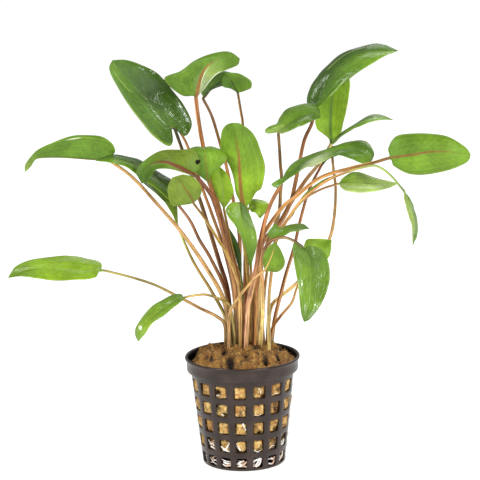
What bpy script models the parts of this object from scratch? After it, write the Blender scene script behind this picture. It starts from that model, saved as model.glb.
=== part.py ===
"""A cryptocoryne in its net pot: basket, mineral wool, roots and leaves, in metres with +Z up.

The pot stands on the ground plane with its axis on Z, and the plant's widest side faces -Y.
"""

import math

import bmesh
import bpy
import numpy as np

MM = 0.001

RIM_RADIUS = 27.5
BAND_RADIUS = 26.7
WALL_TOP_RADIUS = 24.75
WALL_FOOT_RADIUS = 19.8
POT_HEIGHT = 52.0
BAND_FOOT = 45.1
LIP_HEIGHT = 1.5
LIP_EDGE = 0.4
BAND_EDGE = 0.5
SKIN = 1.1
FLOOR = 1.2
FOOT_ROUNDING = 0.6

COLUMNS = 16
WINDOW_SHARE = 0.63
FIRST_WINDOW_TOP = 42.4
WINDOW_HEIGHT = 6.1
WINDOW_PITCH = 9.0
WINDOW_ROWS = 5
LOWEST_WINDOW_FOOT = 1.3
FIRST_WINDOW_TURN = -3.6
FLOOR_SLOT_INNER = 8.5
FLOOR_SLOT_OUTER = 14.5

GAP = 0.3
WOOL_SIDES = 24
WOOL_CLEARANCE = 0.55
SHOULDER_ROUNDING = 1.4
WOOL_SHOULDER_RADIUS = 24.2
WOOL_NECK = 48.5
WOOL_SHOULDER = 51.0
CROWN_RADIUS = 16.5
CROWN_HEIGHT = 54.5
LEAF_FOOT = CROWN_HEIGHT + GAP

CURVE_STEPS = 12
FEWEST_STALK_RINGS = 4
FEWEST_BLADE_RINGS = 5
STALK_SPREAD = 1.1
STALK_TAPER = 0.8
RIB_THICKNESS = 0.9
HALF_THICKNESS = 0.5
TIP_THICKNESS = 0.3
CUP = 0.05

# Each leaf has the points of its stalk from the wool to the blade, the thickness of the stalk,
# the points of its two edges and its rib between the blade's foot and the tip, and the tip.
LEAVES = {
    "leaf_left_shelf": {
        "stalk": [(-5.0, 4, LEAF_FOOT), (-7.9, 2, 77), (-15, 0, 92.7), (-26.7, 0, 111), (-40, 0, 127.6),
                  (-50.4, 0, 139.4), (-61.5, 0, 148)],
        "thick": 1.8,
        "left": [(-58, -2, 150.5), (-57.6, -4, 154), (-61, -5, 157.8), (-72, -6, 159.2), (-85, -5.5, 157.6),
                 (-93, -4, 153.5)],
        "rib": [(-70, 0, 148.5), (-82, 0, 149.5), (-92.5, 0, 149.5), (-96.5, 0, 147)],
        "right": [(-59, 3, 151), (-60, 6, 155), (-66, 8, 157.5), (-77, 8, 158), (-88, 6, 155), (-94, 3, 151)],
        "tip": (-98.5, 0, 142.8),
    },
    "leaf_left_arch": {
        "stalk": [(-4.6, 7.5, LEAF_FOOT), (-7, 7, 80), (-13.7, 6, 97), (-19.3, 6, 107.2), (-23.5, 6, 116.5),
                  (-29.5, 6, 125)],
        "thick": 1.7,
        "left": [(-33.5, 1, 128), (-39, -1, 133.5), (-46, -1, 139.2), (-52, 0, 144.6), (-59, 2, 147.3)],
        "rib": [(-33.2, 6, 131.6), (-39.2, 6, 137.5), (-47.3, 6, 144), (-57.4, 6, 148.5)],
        "right": [(-29.2, 10, 130.4), (-31.4, 12, 135), (-36.6, 13, 138.4), (-45.6, 14, 145.3),
                  (-51, 13, 148), (-58.8, 10, 150.4)],
        "tip": (-66.4, 6, 148.5),
    },
    "leaf_left_wedge": {
        "stalk": [(-6.7, 8.7, LEAF_FOOT), (-8, 9, 68.5), (-14.3, 12, 80.7), (-22.8, 15, 95), (-30.5, 17, 111.2)],
        "thick": 1.5,
        "left": [(-34, 14, 120), (-36.6, 13, 125.8), (-41.1, 13, 129.8), (-45.7, 13, 134.2), (-49.6, 14, 138.7)],
        "rib": [(-34, 18, 119), (-39, 20, 127), (-46, 20, 136)],
        "right": [(-29.5, 21, 118), (-30, 23, 125), (-35, 24, 132), (-43, 23, 138)],
        "tip": (-53.8, 17, 143.8),
    },
    "leaf_left_curled": {
        "stalk": [(-1.4, 2.6, LEAF_FOOT), (-2.5, -1, 82), (-6.5, -6, 107), (-11.3, -10, 127), (-14.5, -12, 134.3),
                  (-19.6, -13, 141)],
        "thick": 2.3,
        "left": [(-18, -11, 146), (-20, -9, 152.4), (-25.8, -8, 153.2), (-36.6, -8, 152.4), (-44.4, -9, 147.8),
                 (-47.4, -11, 143.3)],
        "rib": [(-22.7, -14, 142.3), (-28.2, -15, 145.8), (-34.1, -15, 148.4), (-40.5, -14, 147),
                (-44.3, -13, 143.2)],
        "right": [(-24.6, -17, 143.3), (-29.4, -19, 145.3), (-37.4, -19, 145.8), (-40.3, -18, 142.5),
                  (-42.3, -16, 139.5)],
        "tip": (-45, -14, 138.3),
    },
    "leaf_left_spotted": {
        "stalk": [(1.3, 3.6, LEAF_FOOT), (-1, 1, 82), (-4.9, -1, 101), (-8, -2, 115.5), (-11.2, -3, 128),
                  (-14.1, -4, 136.2)],
        "thick": 1.8,
        "left": [(-19.5, -6, 141.2), (-24.5, -6, 147.3), (-24, -3, 151.6), (-20, 2, 152)],
        "rib": [(-15, -6, 143.2), (-15.6, -6, 150), (-16, -3, 152.4), (-16.5, 1, 152)],
        "right": [(-12.6, -6, 140.2), (-8.2, -6, 144.5), (-5, -6, 148.2), (-7.5, -3, 151.2), (-11.5, 1, 152)],
        "tip": (-17, 4, 149.5),
    },
    "leaf_left_round": {
        "stalk": [(-0.9, -0.7, LEAF_FOOT), (-1, -6, 86), (-6.4, -12, 104), (-9.5, -15, 110), (-15.4, -18, 121),
                  (-21, -20, 129.5)],
        "thick": 1.5,
        "left": [(-24.9, -22, 129.4), (-30.9, -22, 129.2), (-32.7, -22, 135), (-32.5, -21, 138.5)],
        "rib": [(-22.5, -20, 133.1), (-26.7, -20, 139.6), (-29, -20, 141.5)],
        "right": [(-18, -21, 133), (-17.2, -22, 137), (-19.6, -22, 141.3), (-25, -21, 143.4)],
        "tip": (-30.6, -20, 142),
    },
    "leaf_top_left": {
        "stalk": [(-5.4, 11.5, LEAF_FOOT), (-6.2, 12, 79), (-10.3, 14, 95), (-16, 17, 115), (-19.4, 18, 126.5),
                  (-26.9, 20, 149.6), (-30, 21, 159)],
        "thick": 2.0,
        "left": [(-32.3, 17, 151.2), (-39.9, 16, 155.2), (-46, 16, 162.5), (-53.3, 17, 173), (-58.3, 18, 183.5),
                 (-59.8, 19, 188.2)],
        "rib": [(-36.3, 22, 164.4), (-43.5, 23, 173.7), (-53.5, 22, 185)],
        "right": [(-25.1, 19, 155.6), (-21.8, 19, 160.8), (-25.2, 19, 169.2), (-31, 18, 177.3),
                  (-37.5, 18, 185.6), (-45.8, 18, 190.7), (-52, 19, 192.5)],
        "tip": (-58.2, 20, 192),
    },
    "leaf_top_left_hidden": {
        "stalk": [(-2.4, 10.6, LEAF_FOOT), (-3.6, 13, 80), (-8, 20, 100), (-13.8, 26, 117), (-17.6, 29, 127.5),
                  (-24.2, 32, 147.5), (-28.5, 34, 156)],
        "thick": 1.6,
        "left": [(-32, 32, 158), (-38, 32, 163), (-43, 34, 171)],
        "rib": [(-31, 36, 162), (-35, 38, 169), (-39, 39, 175)],
        "right": [(-27, 38, 162), (-28, 41, 169), (-34, 42, 175)],
        "tip": (-43, 38, 180),
    },
    "leaf_top_hood": {
        "stalk": [(0.2, 10.4, LEAF_FOOT), (-2, 10, 85), (-7.5, 11, 111.7), (-12.6, 11, 132.6), (-16.4, 10, 150.7),
                  (-18.4, 8, 164.4), (-19.4, 8, 175)],
        "thick": 2.3,
        "left": [(-26.6, 6, 176.8), (-34, 4, 184.6), (-26.3, 4, 188.1), (-19.5, 3, 193), (-11.6, 3, 196),
                 (-3.4, 2, 197)],
        "rib": [(-17.8, 6, 181), (-16.3, 4, 186), (-13.6, 2, 190.6), (-8, 0, 194), (-2, -1, 194.6)],
        "right": [(-15.8, 6, 178.6), (-12.9, 3, 182.7), (-9.3, 1, 186.5), (-5, -1, 188.7), (-1.4, -2, 190.2),
                  (0.9, -2, 191.4)],
        "tip": (1.6, -1, 194),
    },
    "leaf_top_dark": {
        "stalk": [(-0.9, 13.8, LEAF_FOOT), (-0.4, 16, 90), (-0.3, 18, 107), (-2.8, 19, 123.5), (-6.2, 19, 142),
                  (-8.3, 20, 149.8), (-12.2, 21, 164), (-16.4, 22, 172.7)],
        "thick": 1.7,
        "left": [(-17, 25, 176.5), (-12.5, 27, 181), (-6, 27, 185)],
        "rib": [(-11.5, 23, 178), (-5, 24, 182)],
        "right": [(-14.8, 19, 175), (-11.4, 18, 177.2), (-7.4, 18, 178.8), (-3.5, 19, 179.6), (0, 21, 181.5)],
        "tip": (3, 24, 184),
    },
    "leaf_top_small": {
        "stalk": [(1.9, 13.9, LEAF_FOOT), (3.4, 15, 90), (3.2, 16, 120), (2.9, 15, 145), (2.4, 15, 161),
                  (1.6, 14, 167.2), (0.4, 14, 175.8)],
        "thick": 1.5,
        "left": [(-3, 12, 178.3), (-6.5, 10, 179.6), (-7, 10, 183)],
        "rib": [(-1, 14, 178.2), (-2.4, 13, 181.4), (-4.4, 12, 184.8)],
        "right": [(5, 12, 177.6), (6.7, 12, 178.8), (6.8, 12, 181.5), (4.7, 12, 183.5), (0.8, 12, 185.5)],
        "tip": (-5.3, 12, 186.2),
    },
    "leaf_centre_tall": {
        "stalk": [(1.4, 7.3, LEAF_FOOT), (2.2, 5, 85), (2.6, 3, 105), (2.5, 1, 121.5)],
        "thick": 2.3,
        "left": [(-0.2, 0, 127.2), (-1.6, -1, 131.2), (-2.5, -1, 137.8), (-4.6, 1, 144), (-8.3, 2, 150),
                 (-7.6, 2, 159.2), (-5.4, -1, 163)],
        "rib": [(0.8, 0, 129.6), (0.5, -1, 139.4), (0.2, -2, 149.1), (-1, -3, 157.5)],
        "right": [(5.5, 1, 126.1), (8, 1, 130.4), (10.5, 1, 132.2), (12, 0, 138), (12.3, 0, 144),
                  (10.2, 0, 151.4), (8.5, -1, 156.4), (5.7, -2, 160.5), (1, -4, 164)],
        "tip": (-2.6, -5, 164.6),
    },
    "leaf_centre_left": {
        "stalk": [(-1.5, 6.4, LEAF_FOOT), (-0.6, 4, 84), (-4, 1, 104), (-7.3, 0, 123)],
        "thick": 1.5,
        "left": [(-9.5, -1, 127.2), (-12, -2, 133.3), (-13, -2, 138.3), (-11.6, -1, 142.2)],
        "rib": [(-7.3, 1, 130), (-8, 0, 137)],
        "right": [(-4, -1, 127.5), (-2.5, -3, 131.4), (-3.4, -3, 135.8), (-5.7, -3, 140.7)],
        "tip": (-9, -1, 143.6),
    },
    "leaf_centre_hanging": {
        "stalk": [(3.9, 3.8, LEAF_FOOT), (4.2, 0, 78), (2.6, -4, 100), (0.5, -8, 118), (-0.5, -10, 125)],
        "thick": 1.7,
        "left": [(-6.2, -12, 125.6), (-5.2, -15, 121.8), (-2.4, -16, 119.2), (0, -17, 114.8),
                 (2.2, -17, 109.4), (3.5, -17, 102.6)],
        "rib": [(0.4, -13, 126.3), (1.3, -15, 118.2), (3, -16, 111.5), (4.3, -16, 100.7)],
        "right": [(-1, -10, 128.3), (3, -11, 124.2), (5.4, -13, 120.2), (7.2, -14, 115.7), (7.8, -15, 111.2),
                  (7.2, -15, 106.3), (5.7, -16, 100.7)],
        "tip": (4.7, -16, 97),
    },
    "leaf_centre_small": {
        "stalk": [(4.4, 9.4, LEAF_FOOT), (5, 9, 85), (4.6, 8, 105), (4, 7, 121.5)],
        "thick": 1.3,
        "left": [(6, 10, 125.3), (10, 11, 125.2), (13.6, 10, 123.4), (13, 9, 120)],
        "rib": [(7, 7, 123.2), (10, 7, 122), (10.8, 6, 120)],
        "right": [(5.5, 4, 121), (7.7, 3, 119.8)],
        "tip": (9.7, 5, 117.1),
    },
    "leaf_inner_young": {
        "stalk": [(2.6, 11, LEAF_FOOT), (1.2, 9, 75), (0.2, 8, 88)],
        "thick": 1.4,
        "left": [(-1.8, 7.5, 96), (-4.3, 7, 106)],
        "rib": [(-0.6, 8, 96), (-2.8, 8, 104.5)],
        "right": [(0.6, 7.5, 96), (-1, 7, 105)],
        "tip": (-6.2, 7, 114.5),
    },
    "leaf_right_shelf": {
        "stalk": [(6.8, 9.7, LEAF_FOOT), (9.3, 9.3, 88), (12.6, 9, 103), (18.4, 7, 117.8), (19.7, 6, 130.2),
                  (20.2, 5, 136.7), (19.7, 3, 143.2), (19.3, 0, 152), (18.9, 0, 158.4)],
        "thick": 1.8,
        "left": [(13.8, 2, 160), (15, 5, 160.7), (19.8, 8, 162.6), (22.8, 9, 167.2), (29.9, 10, 169.6),
                 (36, 8, 170)],
        "rib": [(23, 0, 162.5), (29.5, 1, 166), (35, 1, 167)],
        "right": [(15.8, -3, 158.8), (20, -6, 160), (24.5, -8, 162.3), (29.1, -8, 163.5), (34.2, -6, 164.8)],
        "tip": (38.8, 0, 165.4),
    },
    "leaf_top_right": {
        "stalk": [(4.5, 13, LEAF_FOOT), (6.5, 17, 85), (10.5, 19, 96), (17.6, 20, 108), (24.3, 19, 121),
                  (27.7, 16, 135.2), (31.3, 13, 152.4), (35.3, 13, 161.5), (35.8, 13, 169.3)],
        "thick": 2.0,
        "left": [(33.4, 16, 172.6), (34, 18, 174.6), (37.4, 20, 180.5), (43.4, 22, 186.4), (50.8, 22, 193),
                 (58.9, 21, 195.9), (68.2, 18, 197.4)],
        "rib": [(37.7, 13, 170.2), (40.5, 13, 176.7), (43.9, 13, 183.3), (51.2, 13, 189.6), (61, 13, 193.8)],
        "right": [(36.2, 9, 169), (38.9, 6, 170.2), (43.6, 4, 174.5), (48.1, 3, 179.3), (57.6, 4, 186.4),
                  (66.9, 6, 191.6), (71.8, 9, 193.5)],
        "tip": (76.2, 13, 194.6),
    },
    "leaf_right_upright": {
        "stalk": [(12.4, 12.8, LEAF_FOOT), (14.1, 17, 70), (19.1, 18.5, 75.7), (27.6, 21, 82), (37, 24, 91),
                  (43.5, 26, 102.5), (45.8, 27, 112), (46.8, 27, 126), (45.8, 27, 136), (44.7, 27, 149)],
        "thick": 1.6,
        "left": [(43, 26, 152), (40.6, 26, 154), (37.9, 26, 156.7), (37.2, 26, 163), (38.5, 26, 172)],
        "rib": [(44.4, 28, 156), (45, 29, 166), (46.3, 29, 175)],
        "right": [(47.5, 27, 151), (49.6, 28, 153.5), (51, 28, 159.2), (52.4, 28, 165), (53.6, 27, 172),
                  (53.8, 26, 180)],
        "tip": (48.8, 27, 184.5),
    },
    "leaf_right_thin": {
        "stalk": [(10.0, 11, LEAF_FOOT), (8.5, 13, 80), (10.3, 15, 102), (17.9, 16, 110.8), (24.8, 16, 122.4),
                  (31.8, 16, 133), (39, 16, 141.7), (44.2, 16, 150.3)],
        "thick": 2.1,
        "left": [(48.6, 20, 153.8), (53.5, 23, 156.4), (63.2, 23, 161.8), (68.2, 22, 162.5)],
        "rib": [(48.2, 15, 154.4), (53.1, 14, 157.4), (62.5, 14, 162.4), (69, 14, 163)],
        "right": [(47.8, 11, 154.6), (52.5, 7, 158), (61.9, 6, 162), (67, 7, 162.8)],
        "tip": (73.8, 14, 161.6),
    },
    "leaf_right_arch": {
        "stalk": [(1.9, 0.2, LEAF_FOOT), (3, -3, 75), (5.6, -7, 88), (8.1, -9, 100.2), (9.7, -9.5, 110),
                  (12, -9, 119.2), (15, -7, 127), (20, -4, 135.2)],
        "thick": 2.2,
        "left": [(20.8, -2, 138), (25.3, 5, 143), (33.8, 7, 146.8), (43.3, 8, 149.2), (52.6, 8, 152.4),
                 (60.4, 6, 152.9), (63.8, 1, 148)],
        "rib": [(24, -2, 140), (31, -2, 145), (40, -2, 148.5), (50, -2, 150.3), (58, -2, 149)],
        "right": [(16.4, -4, 136), (18.5, -8, 135), (22.4, -10, 138), (29.9, -12, 143.5), (35.6, -13, 145),
                  (44.6, -12, 149.4), (51.4, -10, 148), (57.6, -7, 144.8)],
        "tip": (61.6, -2, 143.2),
    },
    "leaf_right_hidden": {
        "stalk": [(14.2, 9.6, LEAF_FOOT), (15.9, 11, 66), (18.9, 13, 77.4), (22, 15, 88.2), (26, 18, 100),
                  (29, 20, 112), (33.7, 21, 127.5), (39.7, 20, 139.5)],
        "thick": 1.6,
        "left": [(39.2, 22.5, 142), (42.5, 24.5, 146), (48, 25, 148.5)],
        "rib": [(43, 20, 143.5), (48, 20.5, 146), (52, 21, 146)],
        "right": [(43, 16.5, 141), (49, 16.5, 142.5), (54, 18.5, 143)],
        "tip": (58, 21.5, 143),
    },
    "leaf_far_right": {
        "stalk": [(6.9, 2.8, LEAF_FOOT), (7.4, -2, 88), (8.6, -5, 104.3), (10.8, -6, 111.4), (19.9, -7, 124.2),
                  (26.1, -8, 129.5), (37.8, -8, 138.3), (51.7, -9, 142.7), (61.4, -10, 145), (69.4, -11, 147.4)],
        "thick": 1.9,
        "left": [(69.9, -10, 152), (73.6, -9, 157), (81.9, -8, 157.8), (91.4, -8, 157.3), (97.5, -9, 156.1),
                 (104.2, -10, 152.2), (106.6, -11, 150)],
        "rib": [(74.9, -12, 148.4), (81.7, -13, 149.3), (88.6, -13, 150.3), (97.9, -13, 150.1)],
        "right": [(70.7, -12, 145.7), (72.1, -12, 143.7), (78.4, -12, 140.2), (86.3, -12, 139.5),
                  (97, -12, 141.3), (104.4, -12, 144.1), (106.9, -12, 146.2)],
        "tip": (107.5, -12, 148.3),
    },
    "leaf_right_droop": {
        "stalk": [(12.8, -4.4, LEAF_FOOT), (13, -4, 76), (14.2, -4.5, 90), (16.6, -6, 106.6), (20.1, -7, 114.7),
                  (28.3, -9, 127.2), (39.9, -13, 137.2), (51.5, -14, 142), (61.1, -15, 143.8), (65.3, -15, 142.8),
                  (69.8, -16, 139.8), (76.2, -17, 133)],
        "thick": 1.3,
        "left": [(76.3, -20, 129), (77.4, -22, 124.5), (79.8, -22, 118.5), (80.3, -20, 114)],
        "rib": [(78.2, -17, 129), (79.9, -17, 123.5), (81.2, -17, 117)],
        "right": [(79.7, -14, 128.2), (81.5, -11, 123.7), (82.8, -11, 118.2), (82.9, -13, 112.7)],
        "tip": (80.3, -16, 106.8),
    },
    "leaf_right_pale": {
        "stalk": [(9.4, 7.6, LEAF_FOOT), (11.6, 4, 85), (15.8, 3, 104), (22, 3, 116), (30, 3, 125.6),
                  (38, 3, 130.6), (46.6, 4, 133.2)],
        "thick": 1.3,
        "left": [(50, 6, 136.4), (55.3, 8, 138), (64.3, 8, 135.5), (70, 6, 133.8)],
        "rib": [(55, 3, 133.3), (65, 3, 132.7)],
        "right": [(48, 1, 131.9), (51, -1, 130.3), (59.1, -3, 129.7), (68.6, -1, 130.8)],
        "tip": (75.2, 3, 133),
    },
    "leaf_right_young": {
        "stalk": [(8.8, 4.6, LEAF_FOOT), (12.5, 1, 91.8), (18, -1, 110.6), (24.8, -3, 120)],
        "thick": 1.2,
        "left": [(30.1, -2.5, 129.3), (38.7, -3.5, 136.2)],
        "rib": [(31, -4.5, 129.1), (39.2, -5.5, 135.5)],
        "right": [(31.5, -3, 128.1), (39.6, -4, 134.8)],
        "tip": (46, -6, 139.5),
    },
    "leaf_front_right": {
        "stalk": [(8.5, 0.2, LEAF_FOOT), (9.9, -5, 71.5), (10.2, -10, 87), (9.9, -15, 102.5), (13.7, -18, 110.2),
                  (19.7, -21, 113), (24.6, -24, 112), (28.6, -26, 109.5)],
        "thick": 1.6,
        "left": [(24.6, -27, 111), (24.5, -28, 103.2), (26.2, -29, 92.6), (27.3, -28, 80.3)],
        "rib": [(31.5, -29, 103.5), (32.4, -31, 92), (30.5, -30, 82.3)],
        "right": [(33, -26, 109.1), (37.9, -27, 107), (40.7, -28, 101), (41, -28, 92.2), (37.2, -28, 83.4),
                  (31.6, -27, 76.8)],
        "tip": (28.6, -28, 75.5),
    },
    "leaf_right_behind": {
        "stalk": [(13.4, 6, LEAF_FOOT), (14.6, 4, 63.5), (18.5, 0, 70.4), (22.4, -3, 75.7), (24.4, -5, 79.2),
                  (26.8, -7, 86.6), (32.7, -8, 96)],
        "thick": 1.3,
        "left": [(29.7, -9, 101), (30.7, -10, 109), (35.5, -11, 110)],
        "rib": [(35.5, -8, 102), (39, -8, 106)],
        "right": [(37.6, -9, 97.2), (41.5, -10, 101), (42.5, -11, 105)],
        "tip": (42.8, -11, 109.3),
    },
    "leaf_right_dark": {
        "stalk": [(6.3, -0.8, LEAF_FOOT), (7.6, -6, 85), (10.4, -12, 101.3), (13.8, -13.5, 110.7)],
        "thick": 1.3,
        "left": [(12.8, -12, 113.4), (16.7, -11, 117.4), (19, -10.5, 115.2), (23.6, -10, 116.8), (28.8, -10, 117.2)],
        "rib": [(18.4, -14, 113.2), (24.3, -14.5, 115.8), (29, -14, 116.2)],
        "right": [(16.1, -15.5, 111.4), (19.8, -17, 112.6), (23.3, -18, 114.7), (28, -17.5, 115.3)],
        "tip": (32.5, -13, 115.3),
    },
    "leaf_front_round": {
        "stalk": [(-6.4, 0, LEAF_FOOT), (-6, -6, 70), (-4.9, -11, 76.6), (-0.5, -16, 84.8), (5.6, -20, 92.8),
                  (11.3, -22, 97.8)],
        "thick": 1.3,
        "left": [(10.3, -22, 101.5), (11.3, -22, 106.4), (13.8, -22, 109.5)],
        "rib": [(13.2, -23, 101.8), (15.1, -24, 106.6)],
        "right": [(16.4, -23, 97), (19.5, -23, 98.8), (20.6, -24, 102.7), (18.8, -24, 107.6)],
        "tip": (16.4, -23, 111.4),
    },
    "leaf_far_left": {
        "stalk": [(-7.9, 3.8, LEAF_FOOT), (-8.1, 3.2, 66), (-12, 3, 70.3), (-20, 3, 74.6), (-29, 3, 79.8),
                  (-40.4, 3, 86), (-50.5, 2, 90), (-64.6, 0, 94.5)],
        "thick": 1.4,
        "left": [(-67, -4, 94.4), (-68.6, -6, 92.4), (-76.2, -8, 91.8), (-86.8, -8, 91.8), (-95, -7, 92.8),
                 (-104, -4, 93)],
        "rib": [(-75, 0, 94.7), (-88, 0, 96), (-100, 0, 95.5)],
        "right": [(-65.9, 4, 96.6), (-68.4, 6, 98), (-77.7, 8, 99.8), (-87.6, 8, 100.3), (-101, 7, 98.6),
                  (-107.2, 4, 96.2)],
        "tip": (-110.4, 0, 91.8),
    },
    "leaf_low_left": {
        "stalk": [(-3.4, 0.8, LEAF_FOOT), (-5, -3, 75), (-9.3, -6, 80.4), (-15.6, -9, 83.6), (-19.2, -10, 84.1),
                  (-26, -12, 83.6)],
        "thick": 1.3,
        "left": [(-26.7, -16, 83.2), (-29.3, -18, 81.5), (-37.7, -20, 75.8), (-41.4, -19, 72.8), (-45, -17, 68)],
        "rib": [(-31, -14, 82), (-38.5, -15, 77.5), (-45.5, -15, 71.3), (-48.4, -14, 66)],
        "right": [(-28.8, -9, 84.4), (-36, -8, 82.6), (-43.3, -8, 77.4), (-48.4, -9, 71.5), (-50.4, -11, 65.8)],
        "tip": (-48.7, -13, 62.7),
    },
}

SPROUT_STALK = [(15.4, 3.6, LEAF_FOOT), (15.2, 3.6, 56.2), (14.9, 3.6, 57.8)]
SPROUT_THICK = 1.4
SPROUT_RINGS = 3

# Each root runs in the gap between the wool and the wall: the turn about the pot's axis and the
# height, in degrees and millimetres, at its start, middle and end. A turn of -90 faces the front.
ROOTS = {
    "root_front_low": [(-128, 4.5), (-96, 3.2), (-62, 5.0)],
    "root_front_high": [(-122, 9.5), (-100, 12.6), (-72, 10.2)],
    "root_left_low": [(-182, 5.5), (-158, 3.4), (-134, 6.2)],
    "root_left_high": [(-188, 13.5), (-160, 10.0), (-128, 13.8)],
    "root_right_low": [(-54, 4.6), (-26, 3.2), (6, 5.8)],
    "root_right_high": [(-64, 14.2), (-34, 10.6), (-2, 11.8)],
    "root_back": [(54, 4.2), (90, 6.5), (126, 4.0)],
}
ROOT_THICK = 0.8
ROOT_SIDES = 6
ROOT_RINGS = 7
ROOT_ROOM = 1.9
ROOT_ROOM_TOP = 18.0

PLASTIC = (0.075, 0.058, 0.066, 1.0)
WOOL = (0.50, 0.30, 0.09, 1.0)
GREEN = (0.13, 0.29, 0.05, 1.0)
YOUNG_GREEN = (0.30, 0.48, 0.08, 1.0)
ROOT_WHITE = (0.75, 0.70, 0.58, 1.0)


def clear_scene():
    for obj in list(bpy.data.objects):
        bpy.data.objects.remove(obj, do_unlink=True)


def material(name, colour, roughness):
    made = bpy.data.materials.new(name)
    made.use_nodes = True
    shader = made.node_tree.nodes["Principled BSDF"]
    shader.inputs["Base Color"].default_value = colour
    shader.inputs["Roughness"].default_value = roughness
    shader.inputs["Metallic"].default_value = 0.0
    return made


def add_object(name, points, faces, look, smooth=True):
    """A mesh object from points in millimetres, with its normals outward."""
    mesh = bpy.data.meshes.new(name)
    mesh.from_pydata([tuple(float(value) * MM for value in point) for point in points], [], faces)
    shape = bmesh.new()
    shape.from_mesh(mesh)
    bmesh.ops.recalc_face_normals(shape, faces=shape.faces)
    shape.to_mesh(mesh)
    shape.free()
    for polygon in mesh.polygons:
        polygon.use_smooth = smooth
    mesh.materials.append(look)
    obj = bpy.data.objects.new(name, mesh)
    bpy.context.scene.collection.objects.link(obj)
    return obj


def smooth_curve(points, count):
    """`count` points at even steps along a smooth curve through the given ones."""
    knots = np.array(points, float)
    ends = np.vstack([2 * knots[0] - knots[1], knots, 2 * knots[-1] - knots[-2]])
    fine = [knots[0]]
    for before, start, end, after in zip(ends, ends[1:], ends[2:], ends[3:]):
        for step in range(1, CURVE_STEPS + 1):
            t = step / CURVE_STEPS
            fine.append(0.5 * (2 * start + (end - before) * t
                               + (2 * before - 5 * start + 4 * end - after) * t ** 2
                               + (3 * start - before - 3 * end + after) * t ** 3))
    fine = np.array(fine)
    reach = np.concatenate([[0], np.cumsum(np.linalg.norm(np.diff(fine, axis=0), axis=1))])
    wanted = np.linspace(0, reach[-1], count)
    return np.stack([np.interp(wanted, reach, fine[:, axis]) for axis in range(3)], axis=1)


def unit(vector):
    return vector / max(np.linalg.norm(vector), 1e-9)


def tube_rings(path, radii, across, sides=8, level_start=False):
    """Rings of points round a path. `across` points sideways at its end and is carried back.

    A level start makes the first ring horizontal, for a foot that stands on flat ground.
    """
    rings = []
    for index in range(len(path) - 1, -1, -1):
        ahead = path[min(index + 1, len(path) - 1)]
        behind = path[max(index - 1, 0)]
        along = np.array((0.0, 0.0, 1.0)) if level_start and index == 0 else unit(ahead - behind)
        across = unit(across - np.dot(across, along) * along)
        upward = np.cross(along, across)
        ring = []
        for corner in range(sides):
            turn = math.pi - corner * 2 * math.pi / sides
            ring.append(path[index] + radii[index] * (math.cos(turn) * across + math.sin(turn) * upward))
        rings.append(ring)
    return rings[::-1]


def loft(rings, tip=None):
    """Points and faces of a closed skin over rings of equal size, with a flat start.

    The diagonals of its two sides lie over each other, which keeps a thin skin's sides apart
    where it twists.
    """
    size = len(rings[0])
    points = [point for ring in rings for point in ring]
    faces = [tuple(range(size))]
    for row in range(len(rings) - 1):
        for corner in range(size):
            near = (row * size + corner, row * size + (corner + 1) % size)
            far = tuple(index + size for index in near)
            if corner < size / 2:
                faces += [(near[0], near[1], far[1]), (near[0], far[1], far[0])]
            else:
                faces += [(near[0], near[1], far[0]), (near[1], far[1], far[0])]
    last = (len(rings) - 1) * size
    if tip is None:
        faces.append(tuple(range(last, last + size)))
        return points, faces
    points.append(tip)
    for corner in range(size):
        faces.append((last + corner, last + (corner + 1) % size, len(points) - 1))
    return points, faces


def blade_rings(leaf, foot, radius):
    """Rings of eight points over the blade: an edge, the upper side, the other edge, the under side."""
    tip = np.array(leaf["tip"], float)
    count = max(len(leaf["left"]), len(leaf["right"]), FEWEST_BLADE_RINGS) + 2
    left = smooth_curve([foot, *leaf["left"], tip], count)
    rib = smooth_curve([foot, *leaf["rib"], tip], count)
    right = smooth_curve([foot, *leaf["right"], tip], count)
    rings = []
    for index in range(1, count - 1):
        share = index / (count - 1)
        least = radius * (1 - share)
        along = unit(rib[index + 1] - rib[index - 1])
        to_left = left[index] - rib[index]
        to_right = right[index] - rib[index]
        to_left = unit(to_left) * max(np.linalg.norm(to_left), least)
        to_right = unit(to_right) * max(np.linalg.norm(to_right), least)
        upward = unit(np.cross(along, unit(to_right) - unit(to_left)))
        rib_half = radius * (1 - share) ** 2 + RIB_THICKNESS / 2 * (1 - share) + TIP_THICKNESS / 2 * share
        skin_half = HALF_THICKNESS / 2 * (1 - share) + TIP_THICKNESS / 2 * share
        cup = CUP * np.linalg.norm(to_left - to_right) * upward
        half_left = rib[index] + to_left / 2 - cup
        half_right = rib[index] + to_right / 2 - cup
        rings.append([rib[index] + to_left, half_left + skin_half * upward, rib[index] + rib_half * upward,
                      half_right + skin_half * upward, rib[index] + to_right, half_right - skin_half * upward,
                      rib[index] - rib_half * upward, half_left - skin_half * upward])
    return rings, tip


def build_leaf(name, leaf, look):
    """One leaf, stalk and blade in one piece."""
    path = smooth_curve(leaf["stalk"], max(len(leaf["stalk"]), FEWEST_STALK_RINGS))
    radii = np.linspace(STALK_SPREAD, STALK_TAPER, len(path)) * leaf["thick"] / 2
    blade, tip = blade_rings(leaf, tuple(path[-1]), radii[-1])
    across = unit(np.array(blade[0][4]) - np.array(blade[0][0]))
    stalk = tube_rings(path, radii, across, level_start=True)
    points, faces = loft(stalk + blade, tip)
    return add_object(name, points, faces, look)


def build_sprout(look):
    """The short bud beside the crown."""
    path = smooth_curve(SPROUT_STALK, SPROUT_RINGS)
    radii = np.linspace(1.0, 0.5, len(path)) * SPROUT_THICK / 2
    points, faces = loft(tube_rings(path, radii, np.array((1.0, 0.0, 0.0)), level_start=True))
    return add_object("sprout", points, faces, look)


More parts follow.
